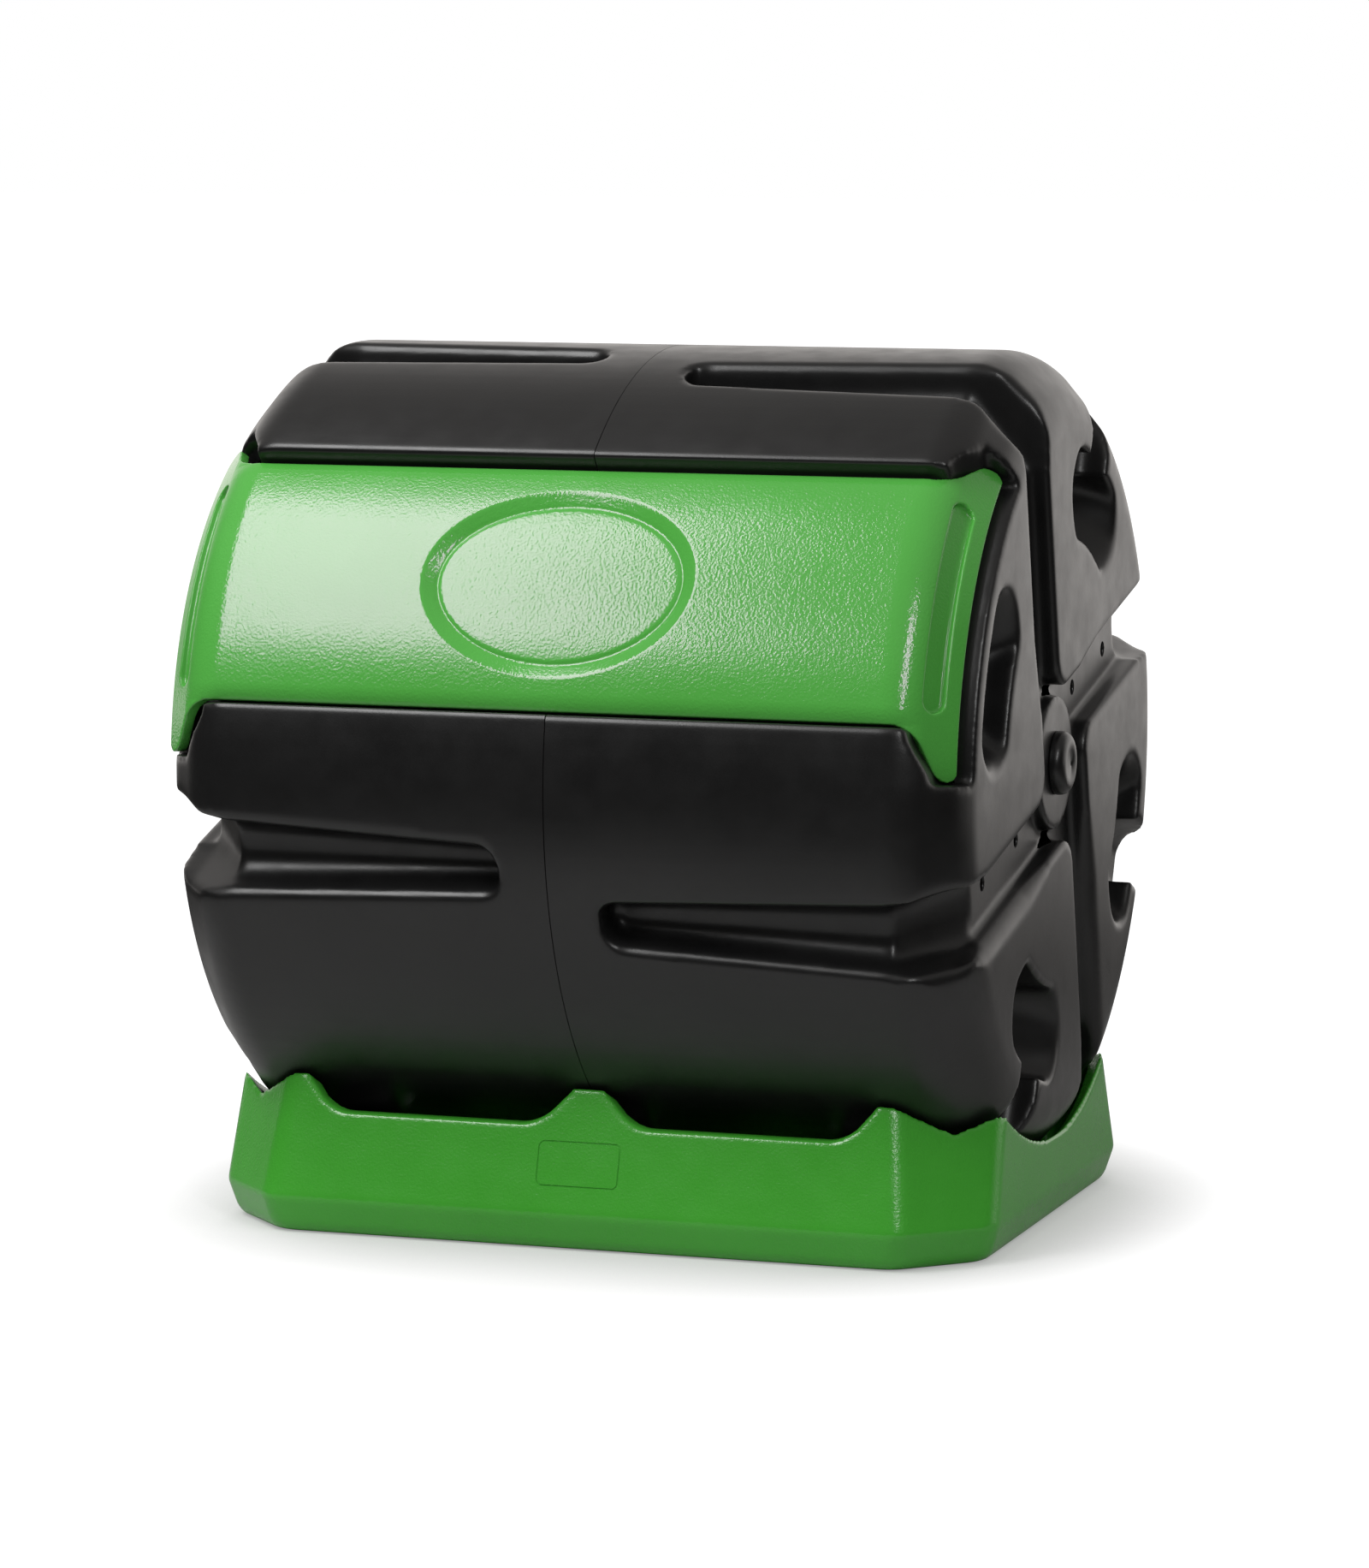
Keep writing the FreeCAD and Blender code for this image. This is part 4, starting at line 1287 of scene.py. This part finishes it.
class Board:
    """The nodes of a finish or of the room, laid out as they are asked for."""

    def __init__(self, owner: bpy.types.Material | bpy.types.World, place: str = "Object") -> None:
        """Starts from the nodes that a new material or world has.

        Args:
            owner: the material or world.
            place: the coordinates that its patterns read.
        """
        owner.use_nodes = True
        self.owner = owner
        self.nodes = owner.node_tree.nodes
        self.place = self.add("ShaderNodeTexCoord").outputs[place]

    @property
    def shader(self) -> bpy.types.Node:
        """The plain shader of a new material."""
        return self.nodes["Principled BSDF"]

    def add(self, kind: str, **settings: object) -> bpy.types.Node:
        """Adds a node and sets its properties.

        Args:
            kind: the node's type.
            settings: its properties.

        Returns:
            The node.
        """
        node = self.nodes.new(kind)
        for name, value in settings.items():
            setattr(node, name, value)
        return node

    def join(self, source: Socket, target: Socket) -> None:
        """Links two sockets."""
        self.owner.node_tree.links.new(source, target)

    def vector(self, operation: str, value: Socket, other: Spot = (0.0, 0.0, 0.0)) -> bpy.types.Node:
        """Vector arithmetic on a socket, with a fixed second vector where there is one.

        Args:
            operation: what is worked out.
            value: the first vector.
            other: the second one.

        Returns:
            The node.
        """
        node = self.add("ShaderNodeVectorMath", operation=operation)
        node.inputs[1].default_value = other
        self.join(value, node.inputs[0])
        return node

    def axis(self, name: str) -> Socket:
        """One coordinate of the place.

        Args:
            name: X, Y or Z.

        Returns:
            The coordinate.
        """
        parts = self.add("ShaderNodeSeparateXYZ")
        self.join(self.place, parts.inputs["Vector"])
        return parts.outputs[name]

    def noise(self, size: float, detail: float, stretch: Spot = (1.0, 1.0, 1.0)) -> Socket:
        """Cloudy pattern at the place.

        Args:
            size: size of one cloud, in metres.
            detail: how many finer layers.
            stretch: scale along each axis.

        Returns:
            The pattern's value, about 0.5.
        """
        mapping = self.add("ShaderNodeMapping")
        mapping.inputs["Scale"].default_value = stretch
        self.join(self.place, mapping.inputs["Vector"])
        clouds = self.add("ShaderNodeTexNoise")
        clouds.inputs["Scale"].default_value = 1.0 / size
        clouds.inputs["Detail"].default_value = detail
        self.join(mapping.outputs["Vector"], clouds.inputs["Vector"])
        return clouds.outputs["Fac"]

    def ramp(self, value: Socket, start: float, stop: float, low: float, high: float,
             change: Change = Change.SMOOTH) -> Socket:
        """Change from one level to another.

        Args:
            value: what drives the change.
            start: where it begins.
            stop: where it ends.
            low: level before the start.
            high: level after the stop.
            change: even or smooth.

        Returns:
            The level.
        """
        node = self.add("ShaderNodeMapRange", interpolation_type=change.value)
        for name, limit in (("From Min", start), ("From Max", stop), ("To Min", low), ("To Max", high)):
            node.inputs[name].default_value = limit
        self.join(value, node.inputs["Value"])
        return node.outputs["Result"]

    def spread(self, value: Socket, low: float, high: float, middle: Pair = (0.3, 0.7)) -> Socket:
        """Spreads a pattern's middle range evenly over new limits."""
        return self.ramp(value, *middle, low, high, Change.EVEN)

    def choose(self, share: Socket, first: Socket | float, second: Socket | float) -> Socket:
        """Goes from a first level to a second by a share.

        Args:
            share: how much of the second.
            first: level at 0.
            second: level at 1.

        Returns:
            The level.
        """
        node = self.add("ShaderNodeMix")
        self.join(share, node.inputs["Factor"])
        for name, level in (("A", first), ("B", second)):
            if isinstance(level, float):
                node.inputs[name].default_value = level
            else:
                self.join(level, node.inputs[name])
        return node.outputs["Result"]

    def blend(self, share: Socket, first: Colour, second: Colour) -> Socket:
        """Mixes two colours by a share, on the colour sockets of a mix node.

        Args:
            share: how much of the second.
            first: colour at 0.
            second: colour at 1.

        Returns:
            The colour.
        """
        mix = self.add("ShaderNodeMix", data_type="RGBA")
        self.join(share, mix.inputs["Factor"])
        mix.inputs[6].default_value = (*first, 1.0)
        mix.inputs[7].default_value = (*second, 1.0)
        return mix.outputs[2]

    def emboss(self, heights: Sequence[tuple[Socket, float]]) -> None:
        """Stacks bumps, each with its height in metres, on the shader's normal.

        Args:
            heights: patterns and heights, in order.
        """
        normal = None
        for value, height in heights:
            bump = self.add("ShaderNodeBump")
            bump.inputs["Strength"].default_value = 1.0
            bump.inputs["Distance"].default_value = height
            self.join(value, bump.inputs["Height"])
            if normal is not None:
                self.join(normal, bump.inputs["Normal"])
            normal = bump.outputs["Normal"]
        self.join(normal, self.shader.inputs["Normal"])


@dataclass(frozen=True)
class MouldedPlastic:
    """Moulded plastic: cloudy colour, fine grain, faint waves and a sheen that varies a little."""

    name: str
    colour: Colour
    shade: Colour
    roughness: Pair
    grain: float
    grain_height: float
    wave: float = 0.05
    wave_height: float = 0.00015
    specular: float = 0.5
    gloss: Colour = WHITE
    cloud: float = 0.09
    sheen: float = 0.022

    def make(self) -> bpy.types.Material:
        """The finish as a material.

        Returns:
            The material.
        """
        board = Board(bpy.data.materials.new(self.name))
        shader = board.shader.inputs
        clouds = board.spread(board.noise(self.cloud, detail=4.0), 0.0, 1.0)
        board.join(board.blend(clouds, self.colour, self.shade), shader["Base Color"])
        board.join(board.spread(board.noise(self.sheen, detail=3.0), *self.roughness), shader["Roughness"])
        shader["Specular IOR Level"].default_value = self.specular
        shader["Specular Tint"].default_value = (*self.gloss, 1.0)
        board.emboss([(board.noise(self.wave, detail=1.0), self.wave_height),
                      (board.noise(self.grain, detail=1.0), self.grain_height)])
        return board.owner


@dataclass(frozen=True)
class PlatedSteel:
    """Zinc-plated steel: pale metal with fine drawn streaks along the axis."""

    name: str
    colour: Colour
    shade: Colour
    roughness: Pair
    cloud: float = 0.006
    streak: float = 0.0012
    streak_stretch: Spot = (0.08, 1.0, 1.0)
    streak_height: float = 0.00002

    def make(self) -> bpy.types.Material:
        """The finish as a material.

        Returns:
            The material.
        """
        board = Board(bpy.data.materials.new(self.name))
        shader = board.shader.inputs
        clouds = board.spread(board.noise(self.cloud, detail=3.0), 0.0, 1.0)
        board.join(board.blend(clouds, self.colour, self.shade), shader["Base Color"])
        streaks = board.noise(self.streak, detail=2.0, stretch=self.streak_stretch)
        board.join(board.spread(streaks, *self.roughness), shader["Roughness"])
        shader["Metallic"].default_value = 1.0
        board.emboss([(streaks, self.streak_height)])
        return board.owner


class Finish(Enum):
    """The finishes of the object, by the record's slots."""

    DRUM_BLACK = MouldedPlastic("drum_black", (0.0062, 0.0062, 0.0064), (0.0092, 0.0092, 0.0094),
                                (0.29, 0.36), grain=0.0013, grain_height=0.00004)
    CAP_BLACK = MouldedPlastic("cap_black", (0.0070, 0.0070, 0.0072), (0.0100, 0.0100, 0.0102),
                               (0.28, 0.36), grain=0.0010, grain_height=0.00005)
    LID_GREEN = MouldedPlastic("lid_green", (0.084, 0.415, 0.060), (0.094, 0.445, 0.070),
                               (0.10, 0.14), grain=0.0020, grain_height=0.00019, specular=0.54,
                               gloss=(1.0, 0.62, 1.0))
    BASE_GREEN = MouldedPlastic("base_green", (0.054, 0.372, 0.030), (0.062, 0.402, 0.036),
                                (0.17, 0.24), grain=0.0018, grain_height=0.00017, specular=0.55)
    ROLLER_NYLON = MouldedPlastic("roller_nylon", (0.030, 0.030, 0.031), (0.045, 0.045, 0.046),
                                  (0.45, 0.60), grain=0.0012, grain_height=0.00003, wave=0.02,
                                  wave_height=0.00005)
    ZINC_STEEL = PlatedSteel("zinc_steel", (0.62, 0.62, 0.60), (0.52, 0.53, 0.53), (0.28, 0.44))


@dataclass(frozen=True)
class SoftBox:
    """A lamp with an oblong face: where it hangs, the point that it faces, its sides and its watts."""

    name: str
    spot: Spot
    aim: Spot
    sides: Pair
    power: float

    def hang(self) -> None:
        """Adds the lamp to the scene."""
        lamp = bpy.data.lights.new(self.name, "AREA")
        lamp.shape = "RECTANGLE"
        lamp.size, lamp.size_y = self.sides
        lamp.energy = self.power
        box = bpy.data.objects.new(self.name, lamp)
        back = (Vector(self.spot) - Vector(self.aim)).normalized()
        across = (Vector((1, 0, 0)) - back * back.x).normalized()
        facing = Matrix((across, back.cross(across), back)).transposed()
        box.matrix_world = Matrix.LocRotScale(Vector(self.spot), facing, None)
        bpy.context.scene.collection.objects.link(box)


@dataclass
class Studio:
    """White sweep behind, dim room in front, pale floor, three soft boxes and the camera."""

    eye: Spot = (1.35548, -4.06918, 0.82354)
    look: Spot = (83.2037, -0.1111, 18.3794)
    lens: float = 132.9
    sensor: float = 36.0
    sight: float = 100.0
    lamps: tuple[SoftBox, ...] = (
        SoftBox("key_box", spot=(-0.9335, -1.3106, 2.1005), aim=KEY_AIM, sides=(0.70, 1.78), power=31.0),
        SoftBox("key_spill", spot=(-0.9512, -1.3354, 2.1402), aim=KEY_AIM, sides=(0.70, 2.40), power=12.0),
        SoftBox("side_box", spot=(1.35, -1.75, 1.55), aim=(0.25, -0.25, 0.4), sides=(0.30, 1.10), power=12.0))
    warmth: Colour = (1.0, 0.96, 0.925)
    front: float = 0.05
    back: float = 1.15
    ceiling: float = 0.34
    room_axis: Spot = (0.10, 0.995, 0.0)
    room_range: Pair = (0.10, 0.75)
    ceiling_range: Pair = (0.25, 0.75)
    floor_range: Pair = (0.9, 4.0)
    floor_reach: float = 40.0
    floor_drop: float = 0.0002
    floor_albedo: float = 0.62
    seen_albedo: float = 0.97
    paper_edge: Pair = (0.65, 1.40)
    paper_glow: float = 0.50
    shadow_edge: Pair = (0.30, 0.54)
    shadow_squeeze: Spot = (1.14, 0.97, 1.0)
    # Reach, samples, occlusion range and glow levels of the painted shadow that the camera sees on the floor.
    painted_shadow_reach: float = 0.20
    painted_shadow_samples: int = 16
    painted_shadow_range: Pair = (0.40, 0.95)
    painted_shadow_levels: Pair = (0.62, 1.20)

    def build(self) -> None:
        """Sets up the room, the lights and the camera."""
        bpy.context.scene.view_settings.view_transform = "Standard"
        self.room()
        self.floor()
        for lamp in self.lamps:
            lamp.hang()
        self.camera()

    def room(self) -> None:
        """White behind, dim on the camera's side, grey above; white to the camera."""
        world = bpy.data.worlds.new("studio_room")
        bpy.context.scene.world = world
        board = Board(world, "Generated")
        behind = board.vector("DOT_PRODUCT", board.place, self.room_axis).outputs["Value"]
        depth = board.ramp(behind, *self.room_range, self.front, self.back)
        above = board.ramp(board.axis("Z"), *self.ceiling_range, 0.0, 1.0)
        level = board.choose(above, depth, self.ceiling)
        seen = board.add("ShaderNodeLightPath").outputs["Is Camera Ray"]
        backdrop = board.nodes["Background"].inputs
        board.join(board.choose(seen, level, 1.0), backdrop["Strength"])
        board.join(board.blend(seen, self.warmth, WHITE), backdrop["Color"])

    def floor(self) -> None:
        """Sheet of pale paper that keeps the shadow and runs out into the room, white to the camera. Near the
        object it also carries a painted shadow: its glow to the camera is lowered where ambient occlusion
        finds the object close.
        """
        form = bmesh.new()
        bmesh.ops.create_grid(form, x_segments=2, y_segments=2, size=self.floor_reach)
        bmesh.ops.translate(form, verts=form.verts, vec=(0, 0, -self.floor_drop))
        floor = Work("floor", form).obj
        board = Board(bpy.data.materials.new("floor_paper"))
        board.nodes.remove(board.shader)
        seen = board.add("ShaderNodeLightPath").outputs["Is Camera Ray"]
        matt = board.add("ShaderNodeBsdfDiffuse")
        board.join(board.choose(seen, self.floor_albedo, self.seen_albedo), matt.inputs["Color"])
        # Painted shadow: the glow that the camera sees is lowered by ambient occlusion near the object, a
        # contact shadow that no lamp casts.
        painted_shadow_occlusion = board.add("ShaderNodeAmbientOcclusion", samples=self.painted_shadow_samples)
        painted_shadow_occlusion.inputs["Distance"].default_value = self.painted_shadow_reach
        white = board.ramp(painted_shadow_occlusion.outputs["AO"], *self.painted_shadow_range, *self.painted_shadow_levels)
        depth = board.ramp(board.axis("Y"), *self.floor_range, self.front, self.back)
        glow = board.add("ShaderNodeEmission")
        board.join(board.choose(seen, depth, white), glow.inputs["Strength"])
        board.join(board.blend(seen, self.warmth, WHITE), glow.inputs["Color"])
        squeezed = board.vector("MULTIPLY", board.place, self.shadow_squeeze).outputs["Vector"]
        reach = board.vector("LENGTH", squeezed).outputs["Value"]
        seen_share = board.ramp(reach, *self.shadow_edge, self.paper_glow, 1.0)
        room_share = board.ramp(reach, *self.paper_edge, 0.0, 1.0)
        mix = board.add("ShaderNodeMixShader")
        board.join(board.choose(seen, room_share, seen_share), mix.inputs["Fac"])
        board.join(matt.outputs["BSDF"], mix.inputs[1])
        board.join(glow.outputs["Emission"], mix.inputs[2])
        board.join(mix.outputs["Shader"], board.nodes["Material Output"].inputs["Surface"])
        floor.data.materials.append(board.owner)

    def camera(self) -> None:
        """Puts the camera at the photograph's viewing angle."""
        lens = bpy.data.cameras.new("camera")
        lens.lens, lens.sensor_width = self.lens, self.sensor
        lens.clip_end = self.sight
        camera = bpy.data.objects.new("camera", lens)
        camera.location = self.eye
        camera.rotation_euler = [math.radians(angle) for angle in self.look]
        bpy.context.scene.collection.objects.link(camera)
        bpy.context.scene.camera = camera


def dress_node(node: str, material: bpy.types.Material) -> None:
    """Gives a carried-over solid its finish.

    Args:
        node: the solid's name.
        material: its finish.
    """
    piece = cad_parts[node]
    if not piece.material_slots:
        piece.data.materials.append(material)
    for slot in piece.material_slots:
        slot.material = material
    LOG.info("%s: dressed", node)


def main() -> None:
    """Builds and dresses the pieces in order."""
    logging.basicConfig(level=logging.INFO, format="%(message)s")
    paints = {finish: finish.value.make() for finish in Finish}
    DrumHalf().build(paints[Finish.DRUM_BLACK])
    Lid().build(paints[Finish.LID_GREEN])
    BaseTray().build(paints[Finish.BASE_GREEN])
    for side in Side:
        HubCap().build(side, paints[Finish.CAP_BLACK])
    for name in ("seam_bolts", "seam_nuts"):
        dress_node(name, paints[Finish.ZINC_STEEL])
    for row in ("front", "rear"):
        for column in ("left", "middle", "right"):
            dress_node(f"roller_{row}_{column}", paints[Finish.ROLLER_NYLON])
            dress_node(f"roller_pin_{row}_{column}", paints[Finish.ZINC_STEEL])
    Studio().build()


if __name__ == "__main__":
    main()
